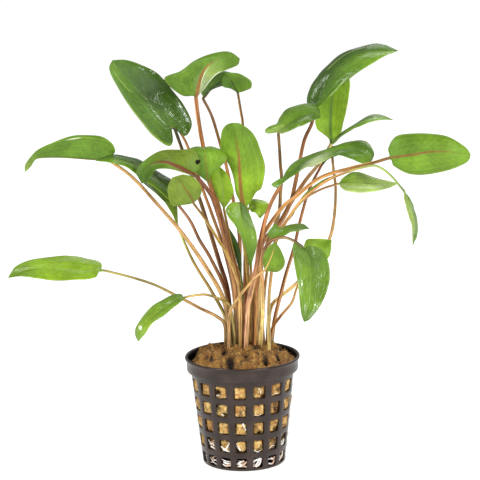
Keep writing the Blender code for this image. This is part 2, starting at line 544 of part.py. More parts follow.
def build_root(name, route, look):
    """One root, round in section, that follows the inside of the wall."""
    points = []
    for turn, height in smooth_curve([(*stop, 0.0) for stop in route], ROOT_RINGS)[:, :2]:
        radius = wall_radius(height) - SKIN - ROOT_ROOM / 2
        points.append((radius * math.cos(math.radians(turn)), radius * math.sin(math.radians(turn)), height))
    path = np.array(points)
    radii = np.full(len(path), ROOT_THICK / 2)
    points, faces = loft(tube_rings(path, radii, np.array((0.0, 0.0, 1.0)), sides=ROOT_SIDES))
    return add_object(name, points, faces, look)


def wall_radius(height):
    """Outer radius of the tapering wall at a height."""
    return WALL_FOOT_RADIUS + (WALL_TOP_RADIUS - WALL_FOOT_RADIUS) * height / BAND_FOOT


def window_edges():
    """Heights of the windows' feet and tops, from the lowest row up."""
    edges = []
    for row in reversed(range(WINDOW_ROWS)):
        top = FIRST_WINDOW_TOP - row * WINDOW_PITCH
        edges += [max(top - WINDOW_HEIGHT, LOWEST_WINDOW_FOOT), top]
    return edges


def build_pot(look):
    """The basket as a grid of cells round its profile, with the cells of the windows and slots left open."""
    outside = [(0.0, 0.0), (FLOOR_SLOT_INNER, 0.0), (FLOOR_SLOT_OUTER, 0.0),
               (WALL_FOOT_RADIUS - FOOT_ROUNDING, 0.0)]
    inside = [(0.0, FLOOR), (FLOOR_SLOT_INNER, FLOOR), (FLOOR_SLOT_OUTER, FLOOR),
              (WALL_FOOT_RADIUS - SKIN, FLOOR)]
    open_rows = {1}
    slot_row = 1
    outside_heights = window_edges()
    for number, height in enumerate(outside_heights):
        if number % 2 == 0:
            open_rows.add(len(outside))
        outside.append((wall_radius(height), height))
        inside.append((wall_radius(height) - SKIN, height))
    lip_foot = POT_HEIGHT - LIP_HEIGHT
    bore = BAND_RADIUS - SKIN
    outside += [(wall_radius(BAND_FOOT), BAND_FOOT), (BAND_RADIUS, BAND_FOOT + BAND_EDGE),
                (BAND_RADIUS, lip_foot), (RIM_RADIUS, lip_foot + LIP_EDGE), (RIM_RADIUS - LIP_EDGE, POT_HEIGHT)]
    inside += [(wall_radius(BAND_FOOT) - SKIN, BAND_FOOT + BAND_EDGE), (bore, BAND_FOOT + SKIN + BAND_EDGE),
               (bore, lip_foot), (bore, lip_foot + LIP_EDGE), (bore + LIP_EDGE, POT_HEIGHT)]
    pitch = 2 * math.pi / COLUMNS
    turns = []
    for column in range(COLUMNS):
        middle = math.radians(FIRST_WINDOW_TURN - 90) + column * pitch
        turns += [middle - WINDOW_SHARE * pitch / 2, middle + WINDOW_SHARE * pitch / 2]
    around = len(turns)
    points = [(0.0, 0.0, 0.0), (0.0, 0.0, FLOOR)]
    index = {}
    for side, profile in (("out", outside), ("in", inside)):
        index[side, 0] = [0 if side == "out" else 1] * around
        for row in range(1, len(profile)):
            radius, height = profile[row]
            index[side, row] = list(range(len(points), len(points) + around))
            points += [(radius * math.cos(turn), radius * math.sin(turn), height) for turn in turns]

    def is_open(row, cell):
        if row not in open_rows or cell % 2:
            return False
        return cell % 4 == 0 if row == slot_row else True

    faces = []
    last = len(outside) - 1
    for row in range(last):
        for cell in range(around):
            following = (cell + 1) % around
            lower = {side: (index[side, row][cell], index[side, row][following]) for side in ("out", "in")}
            upper = {side: (index[side, row + 1][cell], index[side, row + 1][following]) for side in ("out", "in")}
            if is_open(row, cell):
                for near, far in ((lower, lower), (upper, upper)):
                    faces.append((near["out"][0], near["out"][1], far["in"][1], far["in"][0]))
                faces.append((lower["out"][0], upper["out"][0], upper["in"][0], lower["in"][0]))
                faces.append((lower["out"][1], upper["out"][1], upper["in"][1], lower["in"][1]))
                continue
            for side in ("out", "in"):
                corners = (*lower[side], upper[side][1], upper[side][0])
                faces.append(tuple(dict.fromkeys(corners)))
    for cell in range(around):
        following = (cell + 1) % around
        faces.append((index["out", last][cell], index["out", last][following],
                      index["in", last][following], index["in", last][cell]))
    return add_object("net_pot", points, faces, look, smooth=False)


def build_wool(look):
    """The wool plug, turned round the pot's axis just clear of the basket and of the roots."""
    foot = FLOOR + GAP
    profile = [(wall_radius(foot) - SKIN - ROOT_ROOM, foot),
               (wall_radius(ROOT_ROOM_TOP) - SKIN - ROOT_ROOM, ROOT_ROOM_TOP),
               (wall_radius(ROOT_ROOM_TOP + 1) - SKIN - WOOL_CLEARANCE, ROOT_ROOM_TOP + 1),
               (wall_radius(BAND_FOOT) - SKIN - WOOL_CLEARANCE, BAND_FOOT),
               (WOOL_SHOULDER_RADIUS, WOOL_NECK), (WOOL_SHOULDER_RADIUS, WOOL_SHOULDER),
               (WOOL_SHOULDER_RADIUS - SHOULDER_ROUNDING, WOOL_SHOULDER + SHOULDER_ROUNDING),
               (CROWN_RADIUS, CROWN_HEIGHT)]
    rings = []
    for radius, height in profile:
        turns = [2 * math.pi * side / WOOL_SIDES for side in range(WOOL_SIDES)]
        rings.append([(radius * math.cos(turn), radius * math.sin(turn), height) for turn in turns])
    points, faces = loft(rings)
    return add_object("rockwool_plug", points, faces, look)


clear_scene()
build_pot(material("pot_plastic", PLASTIC, 0.45))
build_wool(material("mineral_wool", WOOL, 0.95))
root_look = material("root_white", ROOT_WHITE, 0.6)
for root_name, root_route in ROOTS.items():
    build_root(root_name, root_route, root_look)
build_sprout(material("sprout_green", YOUNG_GREEN, 0.4))
leaf_look = material("leaf_green", GREEN, 0.35)
for leaf_name, leaf_shape in LEAVES.items():
    build_leaf(leaf_name, leaf_shape, leaf_look)
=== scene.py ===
import math
import random

import bmesh
import bpy
import numpy as np
from mathutils import Matrix, Vector, noise


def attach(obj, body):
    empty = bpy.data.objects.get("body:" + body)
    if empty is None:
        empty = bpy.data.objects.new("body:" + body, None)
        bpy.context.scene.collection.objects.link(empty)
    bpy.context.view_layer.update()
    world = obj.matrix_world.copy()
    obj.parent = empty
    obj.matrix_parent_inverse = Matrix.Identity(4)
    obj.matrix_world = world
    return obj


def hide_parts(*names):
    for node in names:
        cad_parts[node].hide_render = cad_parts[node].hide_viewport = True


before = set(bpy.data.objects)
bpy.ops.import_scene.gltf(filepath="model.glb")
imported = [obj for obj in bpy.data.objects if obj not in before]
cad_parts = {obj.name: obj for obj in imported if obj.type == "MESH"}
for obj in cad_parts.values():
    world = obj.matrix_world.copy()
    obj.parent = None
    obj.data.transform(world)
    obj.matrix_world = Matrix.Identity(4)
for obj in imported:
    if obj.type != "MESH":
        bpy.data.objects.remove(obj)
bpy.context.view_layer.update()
scene = bpy.context.scene

# The plant stands on a white sweep in soft light. The camera is a metre away and a little above
# the leaves, so it looks down into the pot.
EYE = Vector((0.0, -0.940, 0.300))
LOOK_DOWN = math.radians(11.55)
ROLL = math.radians(1.14)
SENSOR_WIDTH = 36.0
LENS = 152.25
ROOM_LIGHT = 0.34
WHITE = (1.0, 1.0, 1.0, 1.0)
SWEEP_GREY = (0.50, 0.50, 0.50, 1.0)
SWEEP_GLOW = 0.83
FLOOR_HALF = 9.0
FLOOR_DROP = 0.0004
# Each lamp's place, the place it points at, its side and its power.
LAMPS = {
    "key_lamp": ((-0.65, -0.55, 0.75), (0.0, 0.0, 0.11), 0.35, 8.0),
    "glint_lamp": ((0.60, -0.62, 0.64), (0.0, 0.0, 0.13), 0.12, 4.6),
    "low_lamp": ((0.45, -0.78, 0.26), (-0.04, 0.02, 0.17), 0.09, 1.4),
    "back_lamp": ((0.25, 0.80, 0.75), (0.0, 0.0, 0.12), 0.6, 3.0),
}


def add_object(name, data):
    """Puts an object in the scene, at the origin."""
    piece = bpy.data.objects.new(name, data)
    scene.collection.objects.link(piece)
    return piece


def fill(tree, node, inputs):
    """Sets a node's inputs, each to a value or to another node's output."""
    for slot, value in inputs.items():
        if isinstance(value, bpy.types.NodeSocket):
            tree.links.new(value, node.inputs[slot])
        else:
            node.inputs[slot].default_value = value


camera_data = bpy.data.cameras.new("photo_camera")
camera_data.sensor_width = SENSOR_WIDTH
camera_data.lens = LENS
camera = add_object("photo_camera", camera_data)
camera.matrix_world = (Matrix.Translation(EYE) @ Matrix.Rotation(math.radians(90) - LOOK_DOWN, 4, "X")
                       @ Matrix.Rotation(-ROLL, 4, "Z"))
scene.camera = camera
scene.view_settings.view_transform = "Standard"

world = bpy.data.worlds.new("white_room")
world.use_nodes = True
fill(world.node_tree, world.node_tree.nodes["Background"], {"Color": WHITE, "Strength": ROOM_LIGHT})
scene.world = world

for lamp_name, (lamp_place, aim, size, power) in LAMPS.items():
    lamp_data = bpy.data.lights.new(lamp_name, "AREA")
    lamp_data.size = size
    lamp_data.energy = power
    lamp = add_object(lamp_name, lamp_data)
    lamp.location = lamp_place
    lamp.rotation_euler = (Vector(aim) - Vector(lamp_place)).to_track_quat("-Z", "Y").to_euler()

sweep_mesh = bpy.data.meshes.new("sweep")
sweep_mesh.from_pydata([(x * FLOOR_HALF, y * FLOOR_HALF, -FLOOR_DROP)
                        for x, y in ((-1, -1), (1, -1), (1, 1), (-1, 1))], [], [(0, 1, 2, 3)])
sweep_look = bpy.data.materials.new("white_sweep")
sweep_look.use_nodes = True
fill(sweep_look.node_tree, sweep_look.node_tree.nodes["Principled BSDF"],
     {"Base Color": SWEEP_GREY, "Roughness": 0.9, "Emission Color": WHITE, "Emission Strength": SWEEP_GLOW})
sweep_mesh.materials.append(sweep_look)
sweep = add_object("sweep", sweep_mesh)

# The net pot is one moulding of dark plastic: a tapering basket of square windows under a plain
# band with a rolled rim. The mould repeats every two columns of windows, and every other column
# has a slot in the floor.
MM = 0.001
COLUMNS = 16
WEDGE_COLUMNS = 2
REPEATS = COLUMNS // WEDGE_COLUMNS
PITCH = 2 * math.pi / COLUMNS
HALF_PITCH = PITCH / 2
WINDOW_SHARE = 0.63
HALF_WINDOW = WINDOW_SHARE * PITCH / 2
# The first column stands a little to the left of the front, which is at -90 degrees.
FIRST_COLUMN = math.radians(-3.6 - 90)
WALL_FOOT_RADIUS = 19.8
WALL_TOP_RADIUS = 24.75
BAND_FOOT = 45.1
SKIN = 1.1
POT_FLOOR = 1.2
WINDOW_TOPS = [6.4, 15.4, 24.4, 33.4, 42.4]
WINDOW_HEIGHT = 6.1
HALF_BAR = 1.45
LOWEST_WINDOW_FOOT = 1.3
FOOT_ROUNDING_TOP = 0.6
CORNER = 0.75
CORNER_STEPS = 4
EDGE_ROUNDING = 0.25
SLOT_INNER = 8.5
SLOT_OUTER = 14.5
FOOT_PROFILE = [(19.84, 0.35), (19.66, 0.1), (19.3, 0.0), (SLOT_OUTER, 0.0), (SLOT_INNER, 0.0), (0.0, 0.0)]
FLOOR_PROFILE = [(SLOT_OUTER, POT_FLOOR), (SLOT_INNER, POT_FLOOR), (0.0, POT_FLOOR)]
BAND_PROFILE = [(24.76, 44.95), (24.9, 45.1), (26.3, 45.18), (26.56, 45.3), (26.68, 45.6), (26.72, 46.4),
                (26.7, 48.2), (26.68, 50.0), (26.78, 50.28), (27.05, 50.4), (27.32, 50.58), (27.47, 50.9),
                (27.5, 51.25), (27.42, 51.6), (27.2, 51.87), (26.9, 51.99), (26.6, 51.95), (26.35, 51.75),
                (26.15, 51.35), (25.9, 50.8), (25.68, 50.3), (25.6, 49.6), (25.6, 47.0), (25.4, 46.6),
                (23.85, 46.25), (23.66, 45.9)]
MERGE = 0.000004
PLASTIC = (0.023, 0.0128, 0.0085, 1.0)
PLASTIC_WORN = (0.048, 0.029, 0.022, 1.0)
PLASTIC_GLOSS = 0.20
PLASTIC_SHINE = 0.34
PLASTIC_GRAIN = 0.12
# The inner wall above the wool is painted dark: it is wet there, and the dark is also painted shade.
SHADED_WALL_RADIUS = 26.1
SHADED_WALL_FOOT = 46.0
SHADED_WALL_DARKNESS = 0.85
# Worn, paler clouds lie where their noise is between these values.
WEAR_FROM = 0.40
WEAR_TO = 0.72
WEAR_ROUGHNESS = 0.22
CREASE_ANGLE = 42


def wall_radius(height):
    """Outer radius of the basket's wall at a height, in millimetres."""
    return WALL_FOOT_RADIUS + (WALL_TOP_RADIUS - WALL_FOOT_RADIUS) * height / BAND_FOOT


def turned(turn, radius, height):
    """The place at a turn about the pot's axis, in metres, from millimetres."""
    return (radius * math.cos(turn) * MM, radius * math.sin(turn) * MM, height * MM)


def add_grid(shape, rows):
    """Faces between neighbouring rows of points, which all have the same length."""
    grid = [[shape.verts.new(point) for point in row] for row in rows]
    for near, far in zip(grid, grid[1:]):
        for index in range(len(near) - 1):
            shape.faces.new((near[index], near[index + 1], far[index + 1], far[index]))


def straight_turn(height):
    """Where the straight part of a window's sill ends, as a turn from the column's middle."""
    return HALF_WINDOW - CORNER / wall_radius(height)


def window_outline(middle, foot, top, spread, depth):
    """The closed outline of a window, `spread` outside its edge and `depth` into the wall."""
    centre = (foot + top) / 2
    bend = CORNER + spread
    half_wide = wall_radius(centre) * HALF_WINDOW + spread
    half_high = (top - foot) / 2 + spread
    points = []
    for quarter, (side_x, side_z) in enumerate(((1, -1), (1, 1), (-1, 1), (-1, -1))):
        start = quarter * math.pi / 2 - math.pi / 2
        points.append((round(math.cos(start)) * half_wide, round(math.sin(start)) * half_high))
        for step in range(CORNER_STEPS + 1):
            angle = start + step * math.pi / 2 / CORNER_STEPS
            points.append((side_x * (half_wide - bend) + bend * math.cos(angle),
                           side_z * (half_high - bend) + bend * math.sin(angle)))
    points.append(points[0])
    return [turned(middle + across / wall_radius(centre), wall_radius(centre + up) - depth, centre + up)
            for across, up in points]


def cell_outline(middle, foot, top, low, high, depth):
    """The outline of the wall's cell round a window, with a point for each one of the window's outline."""
    sides = (foot, foot + CORNER, (foot + top) / 2, top - CORNER, top)
    half = [(0, low), (straight_turn(low), low), (HALF_WINDOW, low), (HALF_PITCH, low),
            *((HALF_PITCH, height) for height in sides),
            (HALF_PITCH, high), (HALF_WINDOW, high), (straight_turn(high), high), (0, high)]
    points = half + [(-turn, height) for turn, height in reversed(half[:-1])]
    return [turned(middle + turn, wall_radius(height) - depth, height) for turn, height in points]


def column_turns(middle, height):
    """The turns of the points across a column of windows."""
    sill = straight_turn(height)
    return [middle + turn for turn in (-HALF_PITCH, -HALF_WINDOW, -sill, 0, sill, HALF_WINDOW, HALF_PITCH)]


def build_wedge():
    """Two columns of the basket, from the middle of its floor to its rim, as an open mesh."""
    shape = bmesh.new()
    feet = [max(top - WINDOW_HEIGHT, LOWEST_WINDOW_FOOT) for top in WINDOW_TOPS]
    borders = [FOOT_ROUNDING_TOP]
    borders += [(top + foot) / 2 for top, foot in zip(WINDOW_TOPS, feet[1:])]
    borders.append(WINDOW_TOPS[-1] + HALF_BAR)
    slant = EDGE_ROUNDING * (1 - math.sqrt(0.5))
    for column in range(WEDGE_COLUMNS):
        middle = FIRST_COLUMN + column * PITCH
        for row, (foot, top) in enumerate(zip(feet, WINDOW_TOPS)):
            low, high = borders[row], borders[row + 1]
            inner_low = POT_FLOOR if row == 0 else low
            add_grid(shape, [cell_outline(middle, foot, top, low, high, 0.0),
                             window_outline(middle, foot, top, EDGE_ROUNDING, 0.0),
                             window_outline(middle, foot, top, slant, slant),
                             window_outline(middle, foot, top, 0.0, EDGE_ROUNDING),
                             window_outline(middle, foot, top, 0.0, SKIN),
                             cell_outline(middle, foot, top, inner_low, high, SKIN)])
        # The plain band and the rolled rim stand on the highest windows.
        head = borders[-1]
        profile = [(wall_radius(head), head), *BAND_PROFILE, (wall_radius(head) - SKIN, head)]
        add_grid(shape, [[turned(turn, radius, height) for turn in column_turns(middle, head)]
                         for radius, height in profile])
        # The foot and the floor, outside and inside, are broken by a slot under the first column.
        sides = ((borders[0], [(wall_radius(borders[0]), borders[0]), *FOOT_PROFILE]),
                 (POT_FLOOR, [(wall_radius(POT_FLOOR) - SKIN, POT_FLOOR), *FLOOR_PROFILE]))
        for start, profile in sides:
            turns = column_turns(middle, start)
            slot_row = next(row for row, stop in enumerate(profile) if stop[0] == SLOT_OUTER)
            rows = [[turned(turn, radius, height) for turn in turns] for radius, height in profile]
            add_grid(shape, rows[:slot_row + 1])
            add_grid(shape, rows[slot_row + 1:])
            for part in ((0, 2), (5, 7)) if column == 0 else ((0, 7),):
                add_grid(shape, [row[part[0]:part[1]] for row in rows[slot_row:slot_row + 2]])
        if column == 0:
            slot = (SLOT_INNER, SLOT_OUTER)
            levels = ((straight_turn(borders[0]), 0.0), (straight_turn(POT_FLOOR), POT_FLOOR))
            for radius in slot:
                add_grid(shape, [[turned(middle + turn, radius, height) for turn in
                                  (-HALF_WINDOW, -sill, 0, sill, HALF_WINDOW)] for sill, height in levels])
            for turn in (-HALF_WINDOW, HALF_WINDOW):
                add_grid(shape, [[turned(middle + turn, radius, height) for radius in slot]
                                 for height in (0.0, POT_FLOOR)])
    bmesh.ops.remove_doubles(shape, verts=shape.verts, dist=MERGE)
    mesh = bpy.data.meshes.new("net_pot_piece")
    shape.to_mesh(mesh)
    shape.free()
    return mesh


def put(tree, kind, inputs=None, **settings):
    """Adds a node with its settings and inputs to a tree, and gives its outputs."""
    node = tree.nodes.new(kind)
    for label, value in settings.items():
        setattr(node, label, value)
    fill(tree, node, inputs or {})
    return node.outputs


def maths_in(tree):
    """Makes maths nodes in a tree, from values and other nodes' outputs."""
    def maths(operation, *values):
        """One maths node's result."""
        return put(tree, "ShaderNodeMath", dict(enumerate(values)), operation=operation)["Value"]
    return maths


def new_tree(name, inputs):
    """An empty geometry tree and its named inputs."""
    tree = bpy.data.node_groups.new(name, "GeometryNodeTree")
    tree.interface.new_socket("Geometry", in_out="INPUT", socket_type="NodeSocketGeometry")
    for label, kind in inputs.items():
        tree.interface.new_socket(label, in_out="INPUT", socket_type="NodeSocket" + kind)
    tree.interface.new_socket("Geometry", in_out="OUTPUT", socket_type="NodeSocketGeometry")
    return tree, put(tree, "NodeGroupInput")


def finish_tree(tree, shape, look):
    """Gives a tree's result its material and hands it out."""
    dressed = put(tree, "GeometryNodeSetMaterial", {"Geometry": shape, "Material": look})
    put(tree, "NodeGroupOutput", {"Geometry": dressed["Geometry"]})


def grow(piece, tree, values):
    """Puts a piece through a geometry tree and keeps the result as its plain mesh."""
    modifier = piece.modifiers.new("grow", "NODES")
    modifier.node_group = tree
    for item in tree.interface.items_tree:
        if item.in_out == "INPUT" and item.name in values:
            modifier[item.identifier] = values[item.name]
    graph = bpy.context.evaluated_depsgraph_get()
    mesh = bpy.data.meshes.new_from_object(piece.evaluated_get(graph))
    piece.modifiers.remove(modifier)
    piece.data = mesh


def pot_ring_tree():
    """Repeats a wedge round the pot's axis and joins the seams."""
    tree, start = new_tree("wedges round the pot", {"Repeats": "Int", "Merge": "Float",
                                                    "Plastic": "Material"})
    maths = maths_in(tree)
    share = maths("DIVIDE", put(tree, "GeometryNodeInputIndex")["Index"], start["Repeats"])
    angles = put(tree, "ShaderNodeCombineXYZ", {"Z": maths("MULTIPLY", share, 2 * math.pi)})
    rotation = put(tree, "FunctionNodeEulerToRotation", {"Euler": angles["Vector"]})
    places = put(tree, "GeometryNodePoints", {"Count": start["Repeats"]})
    copies = put(tree, "GeometryNodeInstanceOnPoints", {
        "Points": places["Points"], "Instance": start["Geometry"], "Rotation": rotation["Rotation"]})
    real = put(tree, "GeometryNodeRealizeInstances", {"Geometry": copies["Instances"]})
    merged = put(tree, "GeometryNodeMergeByDistance", {
        "Geometry": real["Geometry"], "Distance": start["Merge"]})
    finish_tree(tree, merged["Geometry"], start["Plastic"])
    return tree


def new_group(name, colours, numbers, extra_outputs=()):
    """An empty shader group with named inputs, and its outputs for a colour, a roughness and a relief."""
    group = bpy.data.node_groups.new(name, "ShaderNodeTree")
    for in_out, kind, labels in (("INPUT", "Color", colours), ("INPUT", "Float", numbers),
                                 ("OUTPUT", "Color", ("Colour",)),
                                 ("OUTPUT", "Float", ("Roughness", "Height", *extra_outputs))):
        for label in labels:
            group.interface.new_socket(label, in_out=in_out, socket_type="NodeSocket" + kind)
    return group, put(group, "NodeGroupInput"), put(group, "ShaderNodeTexCoord")["Object"]


def cloudy(group, source, scale, detail):
    """Noise in clouds over a source of places."""
    return put(group, "ShaderNodeTexNoise", {"Vector": source, "Scale": scale, "Detail": detail})["Fac"]


def between(group, value, low, high, curve="LINEAR"):
    """A step from 0 at `low` to 1 at `high`."""
    return put(group, "ShaderNodeMapRange", {"Value": value, "From Min": low, "From Max": high},
               interpolation_type=curve)["Result"]


def blended(group, amount, below, above):
    """One colour over another."""
    mixed = put(group, "ShaderNodeMix", {"Factor": amount, "A": below, "B": above}, data_type="RGBA")
    return mixed["Result"]


def scaled(group, colour, factor):
    """A colour times a number or times a fixed tint."""
    if isinstance(factor, tuple):
        return put(group, "ShaderNodeVectorMath", {0: colour, 1: factor}, operation="MULTIPLY")["Vector"]
    return put(group, "ShaderNodeVectorMath", {0: colour, "Scale": factor}, operation="SCALE")["Vector"]


def length_of(group, vector):
    """A vector's length."""
    return put(group, "ShaderNodeVectorMath", {0: vector}, operation="LENGTH")["Value"]


def plastic_wear_and_shade_group():
    """Cloudy wear and fine grain over moulded plastic, dark where the wall above the wool is wet and painted
    shade falls.
    """
    group, start, place = new_group("moulded plastic wear", ("Clean", "Worn"), ("Gloss", "Shine"),
                                    ("Shine",))
    maths = maths_in(group)
    wear = cloudy(group, place, scale=140.0, detail=6.0)
    colour = blended(group, between(group, wear, WEAR_FROM, WEAR_TO), start["Clean"], start["Worn"])
    radius = length_of(group, scaled(group, place, (1.0, 1.0, 0.0)))
    height = put(group, "ShaderNodeSeparateXYZ", {"Vector": place})["Z"]
    # Painted shade: the inner wall above the wool is darkened, and its gloss dulled, where it is also wet.
    wet_and_shade = maths("MULTIPLY", maths("LESS_THAN", radius, SHADED_WALL_RADIUS * MM),
                maths("GREATER_THAN", height, SHADED_WALL_FOOT * MM))
    dry_and_unshaded = maths("MULTIPLY_ADD", wet_and_shade, -SHADED_WALL_DARKNESS, 1.0)
    put(group, "NodeGroupOutput", {"Colour": scaled(group, colour, dry_and_unshaded),
                                   "Shine": maths("MULTIPLY", start["Shine"], dry_and_unshaded),
                                   "Roughness": maths("MULTIPLY_ADD", wear, WEAR_ROUGHNESS, start["Gloss"]),
                                   "Height": cloudy(group, place, scale=1500.0, detail=3.0)})
    return group


def dress(name, group, values, bump, height=0.0002, shine=0.5):
    """A material whose colour, roughness and fine relief come from a shader group."""
    look = bpy.data.materials.new(name)
    look.use_nodes = True
    tree = look.node_tree
    skin = put(tree, "ShaderNodeGroup", values, node_tree=group)
    relief = put(tree, "ShaderNodeBump", {"Height": skin["Height"], "Strength": bump, "Distance": height})
    fill(tree, tree.nodes["Principled BSDF"],
         {"Base Color": skin["Colour"], "Roughness": skin["Roughness"], "Normal": relief["Normal"],
          "Specular IOR Level": skin["Shine"] if "Shine" in skin else shine})
    return look


def turn_out(piece, crease_angle=None):
    """Turns a closed piece's faces outwards and shades it smooth, up to a crease angle in degrees."""
    shape = bmesh.new()
    shape.from_mesh(piece.data)
    bmesh.ops.recalc_face_normals(shape, faces=shape.faces)
    shape.to_mesh(piece.data)
    shape.free()
    piece.data.shade_smooth()
    if crease_angle:
        piece.data.set_sharp_from_angle(angle=math.radians(crease_angle))


plastic_look = dress("pot_plastic_moulded", plastic_wear_and_shade_group(),
                     {"Clean": PLASTIC, "Worn": PLASTIC_WORN,
                      "Gloss": PLASTIC_GLOSS, "Shine": PLASTIC_SHINE},
                     bump=PLASTIC_GRAIN)
pot = add_object("net_pot_piece", build_wedge())
grow(pot, pot_ring_tree(), {"Repeats": REPEATS, "Merge": MERGE, "Plastic": plastic_look})
turn_out(pot, CREASE_ANGLE)
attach(pot, "root")
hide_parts("net_pot")

# The plug is one block of golden mineral wool that the young plant was rooted in. It is pressed into
# the basket, so it swells into the windows. Its torn top stands a little above the rim in front and at
# the left, and is lower at the back, where it doesn't reach the rim.
WOOL_TURNS = 300
WOOL_FOOT = 1.5
WOOL_TOP_RINGS = 46
WALL_STEP = 0.46
NECK_FOOT = 45.6
NECK_TOP = 47.2
SHOULDER = 50.9
CROWN = 54.7
CROWN_START = 15.0
TOP_ROUNDNESS = 0.7
BACK_DROP = 2.4
BACK_REACH = 22
SIDE_DROP = 0.6
SIDE_START = 15
SIDE_REACH = 9
# The wool stays inside the rim by these limits, and its first rings roll over at the shoulder.
NECK_LIMIT = 25.3
EDGE_LIMIT = 25.2
ROLLED_RINGS = 4
ROLL_DEPTH = 0.6
ROLL_RISE = 0.35
# The wool is heaped where the stalks crowd and at the left.
CROWD = (3.4, 5.0)
CROWD_HALF = (12.0, 8.5)
HEAPED = 1.1
LEFT_CLUMP = (-19.5, 5.0)
LEFT_CLUMP_REACH = 11.0
LEFT_CLUMP_HEIGHT = 3.2
# Lumps of the torn surface: height, size and seed.
LUMPS = [(0.75, 6.5, 3.1), (0.50, 2.7, 11.7), (0.28, 1.2, 23.3), (0.14, 0.6, 5.9)]
PUFF = 4.6
SMALL_PUFF = 0.45
PUFF_HEIGHT = 3.2
PUFF_REST = 0.2
SMALL_PUFF_SHARE = 0.5
CREASE = 0.07
SMALL_CREASE_SHARE = 0.7
# How strongly the lumps show in the wall, in a window, on the top, under the rim and at its edge.
WALL_BUMP = 0.6
WINDOW_BUMP = 0.85
TOP_BUMP = 0.9
NECK_BUMP = 0.5
EDGE_BUMP = 0.3
# The top also has broad lumps: height, size and seed.
BROAD_LUMPS = (0.7, 9.0, 41.0)
WALL_ROOM = 0.18
LOOSE = 0.55
LOOSE_BELOW = 1.25
LOOSE_BELOW_TOP = 17.0
SWELL = 0.92
SWELL_OUTSIDE = 0.1
SWELL_LEAST = 2.6
SHRUNK = 1.6
SHRUNK_BELOW = 6.4
SHRUNK_FADE = 2.4
# The wool comes nearest to the rim at this turn.
SHOULDER_FRONT = math.radians(-72)
SHOULDER_RADIUS = 23.4
REACH_IN_FRONT = 1.5
SHORT_BEHIND = 0.9
SHORT_AT_LEFT = 0.5
# Near the rim the noise is read on a ring of this radius.
RIM_RING = 24
# How far the wool of the windows stays behind the wall's face, by column and row from the lowest.
SUNKEN = {(0, 1): 0.5, (1, 1): 0.3, (-1, 1): 0.6, (2, 1): 0.7, (-2, 1): 1.8, (3, 1): 1.5, (-2, 2): 0.5,
          (-2, 4): 0.5, (2, 3): 0.5, (-1, 4): 0.1, (1, 4): 0.3}
SUNKEN_ELSEWHERE = 0.25
# Torn hollows: turn in degrees, height, reach and depth.
WALL_HOLLOWS = [
    (-120.5, 39.3, 2.4, 3.2), (-112.5, 28.4, 1.6, 2.2), (-66.5, 37.0, 1.6, 2.0), (-45.5, 29.0, 1.9, 2.2),
    (-45.0, 19.6, 2.0, 2.4), (-70.0, 19.0, 1.8, 1.4), (-98.5, 9.8, 1.9, 2.2), (-136.5, 13.2, 3.2, 3.0),
    (-42.0, 11.0, 2.0, 2.6), (-22.0, 11.5, 2.2, 2.4), (-68.0, 27.6, 1.5, 1.8), (-88.0, 9.4, 1.2, 1.6),
    (140.0, 30.0, 2.4, 2.6), (40.0, 21.0, 2.6, 2.4), (95.0, 38.0, 2.0, 2.2), (62.0, 12.0, 2.4, 2.4)]
# Torn hollows of the top, which are longer towards the front: place sideways and in depth, reach and
# depth.
HOLLOW_LENGTH = 1.8
TOP_HOLLOWS = [
    (-8.6, -3.5, 2.2, 4.2), (-8.4, -9.5, 2.9, 5.4), (-5.6, -18.5, 3.6, 4.0), (1.6, -12.5, 2.4, 4.8),
    (10.9, -16.0, 2.4, 3.2), (18.2, 2.0, 2.2, 3.0), (16.5, -11.0, 2.0, 3.0), (6.0, -3.4, 1.5, 1.6),
    (-17.0, 6.0, 2.6, 2.6), (-14.5, -13.0, 1.5, 1.6), (3.0, 18.0, 3.2, 3.0), (-9.0, 16.5, 2.6, 2.2),
    (13.5, 14.0, 2.8, 2.6)]
# How much darker some windows' wool is tinted, by column and row.
DARKER_WINDOWS = {(-2, 4): 0.6, (2, 4): 0.7, (1, 4): 0.2, (3, 4): 0.3, (2, 3): 0.7, (3, 3): 0.3, (-3, 3): 0.3,
           (-2, 2): 0.6, (1, 2): 0.5, (2, 2): 0.3, (-1, 1): 0.4, (2, 1): 0.4, (-3, 1): 0.4, (-2, 1): 0.8}
# A turn round the wall is unrolled at this radius where its hollows get painted shade.
UNROLLED = 23
# Painted shade lies in a hollow a little behind its middle, in the creases between tufts, and on the wool
# below the lowest windows' tops.
SHADE_SHIFT = 1.2
SHADE_BELOW = 6.6
SHADE_FADE = 2
SHADE_IN_CREASES = 0.85
TOP_LEVEL = 47.5
TOP_FADE = 1.5
# Fewer fibres stand out of the windows' wool, and none below this height.
WINDOW_FIBRES = 0.55
FIBRES_ABOVE = 9
WOOL_COLOURS = {"Gold": (0.56, 0.32, 0.085, 1.0), "Pale": (0.86, 0.62, 0.24, 1.0),
                "Rust": (0.40, 0.160, 0.040, 1.0), "Moss": (0.32, 0.26, 0.060, 1.0),
                "Damp": (0.055, 0.026, 0.010, 1.0)}
DARKENING_TINT = (0.60, 0.47, 0.30)
# The near black of the wool's painted shade.
SOAKED_AND_SHADED = (0.012, 0.006, 0.004, 1.0)
# Clouds of colour, each over the ones before: the noise's scale, detail and slide, the values where
# the cloud starts and is full, and its strength. The last ones are fine crumbs.
WOOL_CLOUDS = [("Moss", 120.0, 3.0, 31.0, 0.54, 0.64, 0.65), ("Rust", 170.0, 3.0, 3.0, 0.47, 0.62, 0.80),
               ("Pale", 420.0, 5.0, 7.0, 0.48, 0.62, 0.80), ("Damp", 330.0, 4.0, 12.0, 0.54, 0.66, 0.85),
               ("Damp", 1900.0, 4.0, 20.0, 0.56, 0.74, 0.55)]


def smooth_step(value):
    """A soft step from 0 to 1."""
    value = min(max(value, 0.0), 1.0)
    return value * value * (3 - 2 * value)


